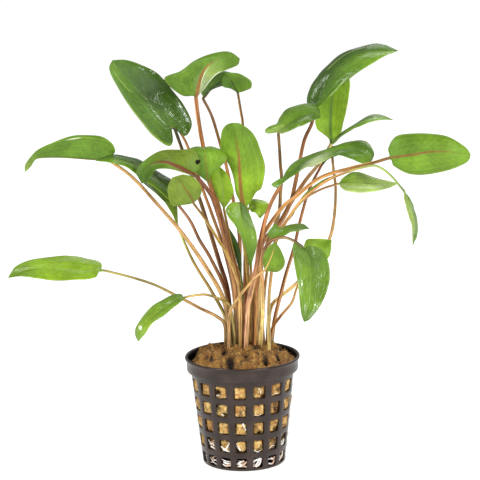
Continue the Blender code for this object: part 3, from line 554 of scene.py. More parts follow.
def roughness_at(place, size, seed):
    """Noise between about -1 and 1 at a place in millimetres, with lumps of a size."""
    return noise.noise((place[0] / size + seed, place[1] / size - seed, place[2] / size + 2 * seed))


def lumps(place):
    """How far the torn wool stands out at a place, in millimetres."""
    return sum(high * roughness_at(place, size, seed) for high, size, seed in LUMPS)


def near_rim(turn, level):
    """The place near the rim at which the noise is read."""
    return (RIM_RING * math.cos(turn), RIM_RING * math.sin(turn), level)


def puffs(place):
    """Round tufts with narrow creases between them, in millimetres, and how deep in a crease it is."""
    large = abs(roughness_at(place, PUFF, 31.0))
    small = abs(roughness_at(place, PUFF * SMALL_PUFF, 17.0))
    crease = max(1 - large / CREASE, SMALL_CREASE_SHARE * (1 - small / CREASE), 0.0)
    height = PUFF_HEIGHT * (large - PUFF_REST) + SMALL_PUFF_SHARE * PUFF_HEIGHT * (small - PUFF_REST)
    return height, crease


def bowl(distance, reach, depth):
    """How deep a round hollow is at a distance from its middle."""
    return depth * (1 - smooth_step(distance / reach)) if distance < reach else 0.0


def hollow_depth(across, along, hollows, length=1.0):
    """How deep in a torn hollow a place lies, from 0 to 1."""
    shares = [1 - smooth_step(math.hypot(across - x, (along - y) / length) / (0.95 * reach))
              for x, y, reach, _ in hollows]
    return min(max(shares) * 1.6, 1.0)


def window_share(turn, height):
    """How far inside a window a place lies, from 0 at its edge to 1, with the window's column and row."""
    column = round((turn - FIRST_COLUMN) / PITCH)
    across = abs(turn - FIRST_COLUMN - column * PITCH) * wall_radius(height)
    row = min(range(len(WINDOW_TOPS)),
              key=lambda number: abs(WINDOW_TOPS[number] - WINDOW_HEIGHT / 2 - height))
    top = WINDOW_TOPS[row]
    foot = max(top - WINDOW_HEIGHT, LOWEST_WINDOW_FOOT)
    sideways = wall_radius(height) * HALF_WINDOW - across
    share = smooth_step((min(sideways, height - foot, top - height) + SWELL_OUTSIDE) / SWELL)
    return share, (column + COLUMNS // 2) % COLUMNS - COLUMNS // 2, row


def wall_wool(turn, height):
    """The wool's radius in the basket's wall, in millimetres."""
    limit = wall_radius(min(height, NECK_FOOT)) - SKIN - WALL_ROOM
    bump = lumps((limit * math.cos(turn), limit * math.sin(turn), height))
    low = 1 - smooth_step((height - LOOSE_BELOW_TOP) / 2)
    radius = min(limit - LOOSE - LOOSE_BELOW * low + bump * WALL_BUMP, limit)
    radius -= SHRUNK * (1 - smooth_step((height - SHRUNK_BELOW) / SHRUNK_FADE))
    if height < NECK_FOOT:
        share, column, row = window_share(turn, height)
        if row > 0:
            swollen = wall_radius(height) - SUNKEN.get((column, row), SUNKEN_ELSEWHERE) + WINDOW_BUMP * bump
            radius += share * (max(swollen, limit - SWELL_LEAST) - radius)
    for at, level, reach, depth in WALL_HOLLOWS:
        apart = (turn - math.radians(at) + math.pi) % (2 * math.pi) - math.pi
        radius -= bowl(math.hypot(apart * limit, height - level), reach, depth)
    return radius


def shoulder_radius(turn):
    """How far the wool reaches under the rim: to the rim in front, and short of it left and behind."""
    front = math.cos(turn - SHOULDER_FRONT)
    radius = SHOULDER_RADIUS + REACH_IN_FRONT * smooth_step(0.5 + 0.9 * front)
    return radius - SHORT_BEHIND * smooth_step(-front) - SHORT_AT_LEFT * smooth_step(-math.cos(turn))


def top_wool(turn, radius, edge):
    """The height of the torn top at a place, in millimetres."""
    place = (radius * math.cos(turn), radius * math.sin(turn), CROWN)
    inward = (edge - radius) / (edge - CROWN_START)
    height = SHOULDER + (CROWN - SHOULDER) * smooth_step(inward) ** TOP_ROUNDNESS
    broad_height, broad_size, broad_seed = BROAD_LUMPS
    height += TOP_BUMP * lumps(place) + puffs(place)[0]
    height += broad_height * roughness_at(place, broad_size, broad_seed)
    height -= BACK_DROP * smooth_step((place[1] + 2) / BACK_REACH)
    height -= SIDE_DROP * smooth_step((radius - SIDE_START) / SIDE_REACH)
    for x, y, reach, depth in TOP_HOLLOWS:
        height -= bowl(math.hypot(place[0] - x, (place[1] - y) / HOLLOW_LENGTH), reach, depth)
    height += bowl(math.hypot(place[0] - LEFT_CLUMP[0], place[1] - LEFT_CLUMP[1]),
                   LEFT_CLUMP_REACH, LEFT_CLUMP_HEIGHT)
    crowd = math.hypot((place[0] - CROWD[0]) / CROWD_HALF[0], (place[1] - CROWD[1]) / CROWD_HALF[1])
    return height + HEAPED * (1 - smooth_step((crowd - 0.8) / 0.5))


def ring_faces(count, size):
    """The faces between `count` rings of `size` points that follow each other."""
    return [(row * size + corner, row * size + (corner + 1) % size,
             (row + 1) * size + (corner + 1) % size, (row + 1) * size + corner)
            for row in range(count - 1) for corner in range(size)]


def build_wool():
    """The plug as rings from its foot to the middle of its top, closed at both ends."""
    turns = [2 * math.pi * step / WOOL_TURNS for step in range(WOOL_TURNS)]
    rings = []
    for level in np.arange(WOOL_FOOT, NECK_TOP, WALL_STEP):
        lift = smooth_step((level - NECK_FOOT) / (NECK_TOP - NECK_FOOT))
        ring = []
        for turn in turns:
            radius = wall_wool(turn, level)
            if lift:
                neck = shoulder_radius(turn) + NECK_BUMP * lumps(near_rim(turn, level))
                radius += lift * (min(neck, NECK_LIMIT) - radius)
            ring.append(turned(turn, radius, level))
        rings.append(ring)
    edges = [min(shoulder_radius(turn) + NECK_BUMP * roughness_at(near_rim(turn, 0), 4, 8), EDGE_LIMIT)
             for turn in turns]
    for level in np.arange(NECK_TOP, SHOULDER - 0.9, WALL_STEP):
        rings.append([turned(turn, edge + EDGE_BUMP * lumps(near_rim(turn, level)), level)
                      for turn, edge in zip(turns, edges)])
    for step in range(WOOL_TOP_RINGS):
        ring = []
        for turn, edge in zip(turns, edges):
            radius = edge * (1 - step / WOOL_TOP_RINGS)
            height = top_wool(turn, radius, edge)
            if step < ROLLED_RINGS:
                roll = SHOULDER - ROLL_DEPTH + ROLL_RISE * step
                height = min(height, roll + EDGE_BUMP * lumps((radius, turn * RIM_RING, 1.0)))
            ring.append(turned(turn, radius, height))
        rings.append(ring)
    points = [point for ring in rings for point in ring]
    faces = [tuple(range(WOOL_TURNS)), *ring_faces(len(rings), WOOL_TURNS)]
    last = (len(rings) - 1) * WOOL_TURNS
    points.append((0.0, 0.0, top_wool(0.0, 0.0, 24.0) * MM))
    faces += [(last + step, last + (step + 1) % WOOL_TURNS, len(points) - 1) for step in range(WOOL_TURNS)]
    mesh = bpy.data.meshes.new("wool_plug")
    mesh.from_pydata(points, [], faces)
    return mesh


def attribute_of(group, name):
    """The outputs of an attribute that a mesh's points carry."""
    return put(group, "ShaderNodeAttribute", attribute_name=name)


def fibre_colour_group():
    """Golden wool with rusty clouds, pale tufts and dark damp crumbs, finely grained, tinted darker in
    places, and near black where painted shade lies in hollows, creases and low down.
    """
    group, start, place = new_group("matted wool", tuple(WOOL_COLOURS), ())
    maths = maths_in(group)
    colour = start["Gold"]
    for layer, scale, detail, shift, low, high, strength in WOOL_CLOUDS:
        slide = put(group, "ShaderNodeMapping", {"Vector": place, "Location": (shift, shift / 2, -shift)})
        cloud = cloudy(group, slide["Vector"], scale, detail)
        share = maths("MULTIPLY", between(group, cloud, low, high), strength)
        colour = blended(group, share, colour, start[layer])
    crumbs = cloud
    # Some windows' wool and the whole top are tinted darker.
    colour = blended(group, attribute_of(group, "darkening")["Fac"], colour, scaled(group, colour, DARKENING_TINT))
    # Painted shade: hollows, creases between tufts and the wool low down are turned near black.
    colour = blended(group, attribute_of(group, "wet_and_shade")["Fac"], colour, SOAKED_AND_SHADED)
    put(group, "NodeGroupOutput", {"Colour": colour, "Roughness": maths("MULTIPLY_ADD", crumbs, 0.2, 0.75),
                                   "Height": crumbs})
    return group


def keep(mesh, label, values, kind="FLOAT", field="value"):
    """Gives each point of a mesh a number, a colour or a direction to carry."""
    mesh.attributes.new(label, kind, "POINT").data.foreach_set(field, values)


wool = add_object("wool_plug", build_wool())
wool_look = dress("mineral_wool_matted", fibre_colour_group(), WOOL_COLOURS, bump=1.0, height=0.0005)
wool.data.materials.append(wool_look)
turn_out(wool)
showing, darkening, wet_and_shade = [], [], []
unrolled_hollows = [(math.radians(turn) * UNROLLED, *rest) for turn, *rest in WALL_HOLLOWS]
for vertex in wool.data.vertices:
    x, y, z = (value / MM for value in vertex.co)
    turn = math.atan2(y, x)
    at_top = smooth_step((z - TOP_LEVEL) / TOP_FADE)
    share, column, row = window_share(turn, z)
    showing.append(max(at_top, WINDOW_FIBRES * share if NECK_FOOT > z > FIBRES_ABOVE else 0.0))
    # The whole top and some windows are tinted darker.
    darkening.append(max(at_top, DARKER_WINDOWS.get((column, row), 0.0)))
    # Painted shade is laid in the top's hollows and the creases between its tufts, and in the wall's hollows
    # and below the lowest windows.
    if z > NECK_TOP:
        hollow = hollow_depth(x, y - SHADE_SHIFT, TOP_HOLLOWS, HOLLOW_LENGTH)
        wet_and_shade.append(max(hollow, SHADE_IN_CREASES * puffs((x, y, CROWN))[1]))
    else:
        hollow = hollow_depth(turn * UNROLLED, z, unrolled_hollows)
        wet_and_shade.append(max(hollow, 1 - smooth_step((z - SHADE_BELOW) / SHADE_FADE)))
for label, values in (("showing", showing), ("darkening", darkening), ("wet_and_shade", wet_and_shade)):
    keep(wool.data, label, values)
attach(wool, "root")
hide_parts("rockwool_plug")

# Loose fibres stand out of the wool wherever it shows. They are short bent strands that lie along
# its surface at random and lift off it at their ends.
STRAND_LENGTH = 0.0030
STRAND_THICK = 0.00013
STRANDS = 900000.0
# A strand's ends and its bend, as shares of its length along it, sideways and upwards.
STRAND_BEND = {"Start": (-0.5, 0.0, -0.02), "Middle": (0.05, 0.30, 0.16), "End": (0.5, -0.05, 0.10)}
# Fibres run from nearly black, where the wool's painted shade lies, to pale straw.
FIBRE_COLOURS = [(0.0, (0.02, 0.01, 0.006, 1.0)), (0.12, (0.20, 0.085, 0.025, 1.0)),
                 (0.40, (0.42, 0.23, 0.07, 1.0)), (0.75, (0.66, 0.45, 0.16, 1.0)),
                 (1.0, (0.80, 0.62, 0.30, 1.0))]


def round_strand(tree, line, thickness, sides):
    """A closed tube of a thickness along a line."""
    section = put(tree, "GeometryNodeCurvePrimitiveCircle",
                  {"Resolution": sides, "Radius": maths_in(tree)("MULTIPLY", thickness, 0.5)})
    return put(tree, "GeometryNodeCurveToMesh",
               {"Curve": line, "Profile Curve": section["Curve"], "Fill Caps": True})["Mesh"]


def strand_tree():
    """Scatters bent strands over the part of a surface that shows."""
    tree, start = new_tree("loose fibres", {"Number": "Float", "Length": "Float", "Thickness": "Float",
                                            "Fibre": "Material"})
    maths = maths_in(tree)

    def carried(name):
        """A number that the surface's points carry."""
        return put(tree, "GeometryNodeInputNamedAttribute", {"Name": name}, data_type="FLOAT")["Attribute"]

    def any_number(low, high, seed):
        """A random number for each strand."""
        return put(tree, "FunctionNodeRandomValue", {2: low, 3: high, "Seed": seed}, data_type="FLOAT")[1]

    def corner(shares):
        """A place on a strand, from shares of its length."""
        lengths = [maths("MULTIPLY", start["Length"], share) for share in shares]
        return put(tree, "ShaderNodeCombineXYZ", dict(zip("XYZ", lengths)))["Vector"]

    density = maths("MULTIPLY", carried("showing"), start["Number"])
    scatter = put(tree, "GeometryNodeDistributePointsOnFaces", {
        "Mesh": start["Geometry"], "Density": density, "Seed": 5})
    bent = put(tree, "GeometryNodeCurveQuadraticBezier", {
        "Resolution": 4, **{label: corner(shares) for label, shares in STRAND_BEND.items()}})
    twist = put(tree, "ShaderNodeCombineXYZ", {"Z": any_number(0.0, 2 * math.pi, 2)})
    twist_turn = put(tree, "FunctionNodeEulerToRotation", {"Euler": twist["Vector"]})
    lie = put(tree, "FunctionNodeRotateRotation", {
        "Rotation": scatter["Rotation"], "Rotate By": twist_turn["Rotation"]}, rotation_space="LOCAL")
    # Strands are tinted darker in those windows and on the top.
    darkening_factor = maths("SUBTRACT", 1.0, maths("MULTIPLY", carried("darkening"), 0.30))
    # Strands are near black where the wool's painted shade lies.
    dry_and_unshaded = maths("SUBTRACT", 1.0, carried("wet_and_shade"))
    bright = maths("MULTIPLY", maths("ADD", 0.12, maths("MULTIPLY", any_number(0.0, 1.0, 4), 0.88)), darkening_factor)
    toned = put(tree, "GeometryNodeStoreNamedAttribute", {
        "Geometry": scatter["Points"], "Name": "tone", "Value": maths("MULTIPLY", bright, dry_and_unshaded)},
        data_type="FLOAT")
    copies = put(tree, "GeometryNodeInstanceOnPoints", {
        "Points": toned["Geometry"], "Instance": round_strand(tree, bent["Curve"], start["Thickness"], 3),
        "Rotation": lie["Rotation"], "Scale": any_number(0.35, 1.25, 9)})
    real = put(tree, "GeometryNodeRealizeInstances", {"Geometry": copies["Instances"]})
    finish_tree(tree, real["Geometry"], start["Fibre"])
    return tree


def ramp_of(tree, value, stops):
    """A colour that runs through stops as a value grows."""
    ramp = tree.nodes.new("ShaderNodeValToRGB")
    while len(ramp.color_ramp.elements) < len(stops):
        ramp.color_ramp.elements.new(0.5)
    for element, (place, colour) in zip(ramp.color_ramp.elements, stops):
        element.position = place
        element.color = colour
    fill(tree, ramp, {"Fac": value})
    return ramp.outputs["Color"]


def toned_look(name, stops, roughness):
    """A material whose colour follows the tone that the points carry."""
    look = bpy.data.materials.new(name)
    look.use_nodes = True
    tree = look.node_tree
    fill(tree, tree.nodes["Principled BSDF"],
         {"Base Color": ramp_of(tree, attribute_of(tree, "tone")["Fac"], stops), "Roughness": roughness})
    return look


fibres = add_object("wool_fibres", wool.data.copy())
grow(fibres, strand_tree(), {"Number": STRANDS, "Length": STRAND_LENGTH, "Thickness": STRAND_THICK,
                             "Fibre": toned_look("wool_fibre", FIBRE_COLOURS, 0.55)})
fibres.data.shade_smooth()
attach(fibres, "root")

# Every leaf grew as one piece, a stalk and a blade. The stalk is round and brown, and it runs on into
# the blade as its rib, a ridge below and a groove above. The blade is about half a millimetre thick,
# glossy and darker above, and paler below.
LEAF_FOOT = 54.8
SUNK = 4.0
CURVE_STEPS = 24
STALK_STEP = 1.5
BLADE_ROWS = 54
ACROSS = [-1, -0.965, -0.86, -0.66, -0.44, -0.22, -0.08, 0, 0.08, 0.22, 0.44, 0.66, 0.86, 0.965, 1]
RING = 2 * len(ACROSS) - 2
STALK_SPREAD = 1.2
STALK_TAPER = 0.85
RIB_THICKNESS = 0.9
HALF_THICKNESS = 0.5
TIP_THICKNESS = 0.3
CUP = 0.05
GROOVE = 0.16
EDGE_WAVE = 0.5
BLADE_WAVE = 0.5
FOOT_SHARE = 0.09
# Each leaf's greens and tone are partly its own colour and partly painted light: blades are painted brighter
# where light falls on them or shines through, and darker where they are shaded.
GREENS = {"dark": (0.042, 0.092, 0.010), "deep": (0.072, 0.155, 0.013), "mid": (0.110, 0.218, 0.017),
          "fresh": (0.160, 0.295, 0.019), "bright": (0.225, 0.380, 0.018), "olive": (0.150, 0.222, 0.022),
          "pale": (0.270, 0.380, 0.085), "silver": (0.400, 0.490, 0.240), "white": (0.720, 0.780, 0.520)}
BROWNS = {"maroon": (0.160, 0.042, 0.018), "red": (0.310, 0.095, 0.032), "rust": (0.410, 0.155, 0.042),
          "orange": (0.560, 0.250, 0.070), "tan": (0.640, 0.370, 0.130), "pink": (0.560, 0.290, 0.160),
          "gold": (0.420, 0.250, 0.035), "brown": (0.200, 0.095, 0.022), "olive": (0.230, 0.180, 0.026),
          "straw": (0.780, 0.600, 0.240), "black": (0.035, 0.035, 0.012), "green": (0.240, 0.330, 0.070),
          "moss": (0.100, 0.185, 0.026), "bark": (0.260, 0.115, 0.024)}
# How often each kind of vein comes, from the rib to the margin or from the foot to the tip.
CROSS_VEINS = 13.0
LONG_VEINS = 4.0
FINE_VEINS = 64.0
# A leaf's own colour times these gives its margin, its rib above and below, and a stalk's streaks.
MARGIN_TINT = (1.55, 1.35, 1.2)
UPPER_RIB_TINT = (1.35, 1.25, 1.2)
LOWER_RIB_TINT = (1.1, 0.9, 0.9)
STREAK_TINT = (1.35, 1.55, 1.6)
# How much straw colour is painted on a stalk's two edges, as painted light shining through its sides, one
# side more than the other.
LIT_EDGES = (0.85, 0.50)
LIT_EDGES_FROM = 0.42
LIT_EDGES_REACH = 0.40
NO_COLOUR = (0.0, 0.0, 0.0, 0.0)
NO_PALE_LINE = (-9.0, NO_COLOUR)
NO_SPOT = (0, 0, 0.1, (0.0, 0.0, 0.0), 0.0)


def soft_step(group, value, low, high):
    """A soft step from 0 at `low` to 1 at `high`."""
    return between(group, value, low, high, "SMOOTHSTEP")


def leaf_skin_group():
    """A blade's skin: its own green in clouds, partly painted light, with veins, margins, a pale line that
    is a crease on some leaves and a painted reflection on others, the rib and a spot.
    """
    group, start, place = new_group("leaf skin", (), ("Veins", "Gloss", "Relief"))
    maths = maths_in(group)
    spread = put(group, "ShaderNodeUVMap", uv_map="leaf")
    spread = put(group, "ShaderNodeSeparateXYZ", {"Vector": spread["UV"]})
    along = spread["Y"]
    place_across = maths("MODULO", spread["X"], 2.0)
    side = maths("ABSOLUTE", maths("SUBTRACT", maths("MULTIPLY", place_across, 2.0), 1.0))

    def comb(value, count):
        """A wave between 0 and 1 that peaks `count` times as the value goes from 0 to 1."""
        turn = maths("FRACT", maths("MULTIPLY", value, count))
        return maths("ABSOLUTE", maths("SUBTRACT", maths("MULTIPLY", turn, 2.0), 1.0))

    wander = maths("MULTIPLY", maths("SUBTRACT", cloudy(group, place, scale=160.0, detail=2.0), 0.5), 0.05)
    slant = maths("MULTIPLY", maths("POWER", side, 0.8), 0.30)
    slanted = maths("ADD", maths("SUBTRACT", along, slant), wander)
    cross_veins = soft_step(group, comb(slanted, CROSS_VEINS), 0.72, 1.0)
    cross_veins = maths("MULTIPLY", cross_veins, soft_step(group, side, 1.0, 0.5))
    bowed = maths("ADD", maths("ADD", side, maths("MULTIPLY", maths("SUBTRACT", along, 0.5), 0.12)), wander)
    long_veins = soft_step(group, comb(bowed, LONG_VEINS), 0.80, 1.0)
    long_veins = maths("MULTIPLY", long_veins, soft_step(group, side, 0.08, 0.2))
    veins = maths("MAXIMUM", maths("MULTIPLY", cross_veins, 0.6), long_veins)
    fine = comb(slanted, FINE_VEINS)
    mottle = cloudy(group, place, scale=420.0, detail=5.0)
    clouds = maths("MULTIPLY", cloudy(group, place, scale=90.0, detail=3.0), 0.65)
    clouds = maths("ADD", clouds, maths("MULTIPLY", mottle, 0.35))
    tone = maths("ADD", maths("MULTIPLY", soft_step(group, clouds, 0.36, 0.66), 0.42), 0.76)
    tone = maths("ADD", tone, maths("MULTIPLY", maths("MULTIPLY", veins, start["Veins"]), 0.30))
    tone = maths("ADD", tone, maths("MULTIPLY", fine, 0.08))
    colour = scaled(group, attribute_of(group, "hue")["Color"], tone)
    margin = scaled(group, colour, MARGIN_TINT)
    colour = blended(group, maths("MULTIPLY", soft_step(group, side, 0.90, 1.0), 0.8), colour, margin)
    edge = attribute_of(group, "edge")
    edge_share = maths("MULTIPLY", soft_step(group, side, 0.86, 0.96), edge["Alpha"])
    colour = blended(group, edge_share, colour, edge["Color"])
    fold = attribute_of(group, "fold")
    fold_and_sheen_gap = maths("ABSOLUTE", attribute_of(group, "fold_and_sheen_gap")["Fac"])
    fold_and_sheen_share = maths("MULTIPLY", soft_step(group, fold_and_sheen_gap, 1.3, 0.5), fold["Alpha"])
    colour = blended(group, fold_and_sheen_share, colour, fold["Color"])
    rib_tone = maths("ADD", maths("MULTIPLY", mottle, 0.7), 0.65)
    rib_colour = scaled(group, attribute_of(group, "rib")["Color"], rib_tone)
    rib_share = soft_step(group, attribute_of(group, "rib_gap")["Fac"], 1.25, 0.75)
    rib_share = maths("MULTIPLY", rib_share, soft_step(group, along, 1.0, 0.72))
    colour = blended(group, maths("MULTIPLY", rib_share, 0.92), colour, rib_colour)
    spot = attribute_of(group, "spot")
    spot_gap = length_of(group, attribute_of(group, "spot_gap")["Vector"])
    ragged = maths("ADD", spot_gap, maths("MULTIPLY", maths("SUBTRACT", mottle, 0.5), 1.2))
    spot_share = maths("MULTIPLY", soft_step(group, ragged, 1.15, 0.85), spot["Alpha"])
    rough = maths("ADD", start["Gloss"], maths("MULTIPLY", mottle, 0.18))
    relief = maths("ADD", maths("MULTIPLY", veins, -0.5), maths("MULTIPLY", fine, 0.30))
    put(group, "NodeGroupOutput", {
        "Colour": blended(group, spot_share, colour, spot["Color"]),
        "Roughness": maths("ADD", rough, maths("MULTIPLY", spot_share, 0.6)),
        "Height": maths("ADD", relief, maths("MULTIPLY", mottle, start["Relief"]))})
    return group


def stalk_skin_group():
    """A stalk's skin: its own brown with dark and light streaks that run along it."""
    group, start, place = new_group("stalk skin", (), ("Gloss",))
    maths = maths_in(group)
    stretch = put(group, "ShaderNodeMapping", {"Vector": put(group, "ShaderNodeUVMap", uv_map="leaf")["UV"],
                                               "Scale": (10.0, 6.0, 1.0)})
    streaks = cloudy(group, stretch["Vector"], scale=1.0, detail=4.0)
    blotches = cloudy(group, place, scale=240.0, detail=4.0)
    tone = maths("ADD", maths("MULTIPLY", soft_step(group, streaks, 0.38, 0.60), 0.95), 0.35)
    tone = maths("ADD", tone, maths("MULTIPLY", maths("SUBTRACT", blotches, 0.5), 0.9))
    colour = scaled(group, attribute_of(group, "hue")["Color"], tone)
    light = scaled(group, colour, STREAK_TINT)
    light_share = maths("MULTIPLY", soft_step(group, streaks, 0.54, 0.66), 0.8)
    put(group, "NodeGroupOutput", {
        "Colour": blended(group, light_share, colour, light),
        "Roughness": maths("ADD", start["Gloss"], maths("MULTIPLY", streaks, 0.2)),
        "Height": streaks})
    return group


leaf_skin = leaf_skin_group()
stalk_look = dress("leaf_stalk", stalk_skin_group(), {"Gloss": 0.26}, bump=0.3, height=0.0001, shine=0.30)
upper_look = dress("leaf_upper_side", leaf_skin, {"Veins": 0.8, "Gloss": 0.06, "Relief": 1.0},
                   bump=0.5, height=0.0003, shine=0.40)
lower_look = dress("leaf_lower_side", leaf_skin, {"Veins": 1.0, "Gloss": 0.34, "Relief": 0.5},
                   bump=0.4, height=0.0002, shine=0.22)


def smooth_curve(points, count):
    """`count` points at even steps along a smooth curve through the given ones."""
    knots = np.array(points, float)
    ends = np.vstack([2 * knots[0] - knots[1], knots, 2 * knots[-1] - knots[-2]])
    fine = [knots[0]]
    for before, start, end, after in zip(ends, ends[1:], ends[2:], ends[3:]):
        for step in range(1, CURVE_STEPS + 1):
            t = step / CURVE_STEPS
            fine.append(0.5 * (2 * start + (end - before) * t
                               + (2 * before - 5 * start + 4 * end - after) * t ** 2
                               + (3 * start - before - 3 * end + after) * t ** 3))
    fine = np.array(fine)
    reach = np.concatenate([[0], np.cumsum(np.linalg.norm(np.diff(fine, axis=0), axis=1))])
    wanted = np.linspace(0, reach[-1], count)
    return np.stack([np.interp(wanted, reach, fine[:, axis]) for axis in range(3)], axis=1)


def unit(vector):
    """The vector with a length of one."""
    return vector / max(np.linalg.norm(vector), 1e-9)


def round_ring(centre, radius, across, upward):
    """A ring of points that starts at the left and goes over the upward side."""
    turns = [math.pi - step * 2 * math.pi / RING for step in range(RING)]
    return np.array([centre + radius * (math.cos(turn) * across + math.sin(turn) * upward)
                     for turn in turns])


def blade_ring(share, rib, to_left, to_right, upward, radius, top_side, seed):
    """The blade's section: its two skins between the margins, with the rib and the margin's waves."""
    skin = (HALF_THICKNESS * (1 - share) + TIP_THICKNESS * share) / 2
    ridge = radius * (1 - share) ** 2 + RIB_THICKNESS / 2 * (1 - share) + TIP_THICKNESS / 2 * share
    width = np.linalg.norm(to_left - to_right)
    over, under = [], []
    for place in ACROSS:
        side = abs(place)
        reach = to_right if place > 0 else to_left
        middle = rib + side * reach - CUP * width * 4 * side * (1 - side) * upward
        fade = min(1.0, 4 * share, 6 * (1 - share))
        ripple = EDGE_WAVE * side ** 3 * noise.noise((0.4 * share * width + seed, 3.0 * np.sign(place), 0.0))
        swell = BLADE_WAVE * side * noise.noise((2.2 * place + seed, 4.0 * share, 7.0))
        middle = middle + fade * (ripple + swell) * upward
        near_rib = math.exp(-(side * np.linalg.norm(reach) / (0.9 * ridge + 0.25)) ** 2)
        thick = skin * math.sqrt(max(0.0, 1 - side ** 12))
        below = thick + (ridge - skin) * near_rib
        above = thick - GROOVE * (1 - share) * near_rib
        if top_side < 0:
            above, below = below, above
        over.append(middle + above * upward)
        under.append(middle - below * upward)
    return np.array(over + under[-2:0:-1])


def shade_between(names, palette, share):
    """The colour at a share of the way along a row of named colours."""
    colours = [np.array(palette[name]) for name in names.split()]
    place = min(max(share, 0.0), 1.0) * (len(colours) - 1)
    first = min(int(place), max(len(colours) - 2, 0))
    later = min(first + 1, len(colours) - 1)
    return colours[first] + (colours[later] - colours[first]) * (place - first)


def side_of(corner):
    """A ring point's place across the leaf from -1 to 1, and whether it is on the upward side."""
    if corner < len(ACROSS):
        return ACROSS[corner], True
    return ACROSS[RING - corner], False


def fold_and_sheen_line(leaf, share, place, reach):
    """How many half widths a point lies outside its side's pale line, a crease on some leaves and a painted
    reflection on others, and the line's colour there.
    """
    for side, start, end, start_place, end_place, half_width, colour, strength in leaf.get("folds", []):
        if side * place >= 0:
            here = min(max((share - start) / (end - start), 0.0), 1.0)
            line = start_place + (end_place - start_place) * here
            fade = strength * smooth_step(here / 0.15) * smooth_step((1 - here) / 0.25)
            return (abs(place) - line) * reach / half_width, (*GREENS[colour], fade)
    return NO_PALE_LINE


def edge_colour(leaf, share, place):
    """The colour of a stretch of margin that differs from the rest, if the point is near one."""
    for side, start, end, colour, strength in leaf.get("edges", []):
        if side * place > 0.5:
            fade = smooth_step((share - start) / 0.06) * smooth_step((end - share) / 0.06)
            if fade > 0:
                return (*GREENS[colour], strength * fade)
    return NO_COLOUR


def paint_leaf(mesh, leaf, stalk_rows, gaps, folds):
    """Gives each point its green or brown, with painted light in the greens and on the stalk's lighter
    edges, the rib's and the margin's colours, and the pale lines and spots.
    """
    hues, ribs, edges, spot_gaps = [], [], [], []
    spot_x, spot_z, spot_size, spot_colour, spot_strength = leaf.get("spot", NO_SPOT)
    lines = [NO_PALE_LINE] * (stalk_rows * RING) + folds + [NO_PALE_LINE]
    greens = (leaf["greens"], leaf.get("greens_right", leaf["greens"]))
    for number, vertex in enumerate(mesh.vertices):
        spot_gaps += ((vertex.co.x / MM - spot_x) / spot_size, (vertex.co.z / MM - spot_z) / spot_size, 0.0)
        row, corner = divmod(number, RING)
        place, upward_side = side_of(corner)
        if row < stalk_rows:
            share = row / (stalk_rows - 1)
            colour = shade_between(leaf["browns"], BROWNS, share)
            # Painted light: the stalk's two edges are painted paler, one more than the other, fading up the
            # stalk.
            sideways = -math.cos(corner * 2 * math.pi / RING)
            pale = LIT_EDGES[int(sideways > 0)] * smooth_step((abs(sideways) - LIT_EDGES_FROM) / LIT_EDGES_REACH)
            pale *= 1 - leaf.get("pale_fade", 0.85) * share
            colour = colour + pale * (0.5 * (colour + 1.0) * np.array(BROWNS["straw"]) * 1.1 - colour)
            colour = colour * leaf.get("stalk_tone", 1.0)
            rib_colour, edge = colour, NO_COLOUR
        else:
            share = (row - stalk_rows + 1) / (BLADE_ROWS + 1)
            left, right = (shade_between(names, GREENS, share) for names in greens)
            colour = (left + (right - left) * smooth_step(0.5 + place * 2.5)) * leaf.get("tone", 1.0)
            edge = edge_colour(leaf, share, place)
            head = np.array(BROWNS[leaf.get("rib_brown", leaf["browns"].split()[-1])])
            if upward_side == (leaf["top_side"] > 0):
                rib_colour = head + smooth_step(share / 0.12) * (colour * UPPER_RIB_TINT - head)
            else:
                rib_colour = head + smooth_step((share - 0.5) / 0.5) * (colour * LOWER_RIB_TINT - head)
        hues += (*colour, 1.0)
        ribs += (*rib_colour, 1.0)
        edges += edge
    fold_and_sheen_colours = [value for line in lines for value in line[1]]
    spots = [*spot_colour, spot_strength] * len(mesh.vertices)
    for label, colours in (("hue", hues), ("rib", ribs), ("edge", edges), ("fold", fold_and_sheen_colours),
                           ("spot", spots)):
        keep(mesh, label, colours, "FLOAT_COLOR", "color")
    keep(mesh, "rib_gap", gaps)
    keep(mesh, "fold_and_sheen_gap", [line[0] for line in lines])
    keep(mesh, "spot_gap", spot_gaps, "FLOAT_VECTOR", "vector")


def rib_half_width(leaf, share, thick, is_top):
    """How wide the rib's colour is to each side, in millimetres. On the upper side it is a narrow line."""
    width = leaf.get("rib_size", 1.0) * thick * max(1 - share / leaf.get("rib_end", 1.0), 0) ** 0.7 + 0.1
    return 0.4 * width + 0.1 if is_top else width


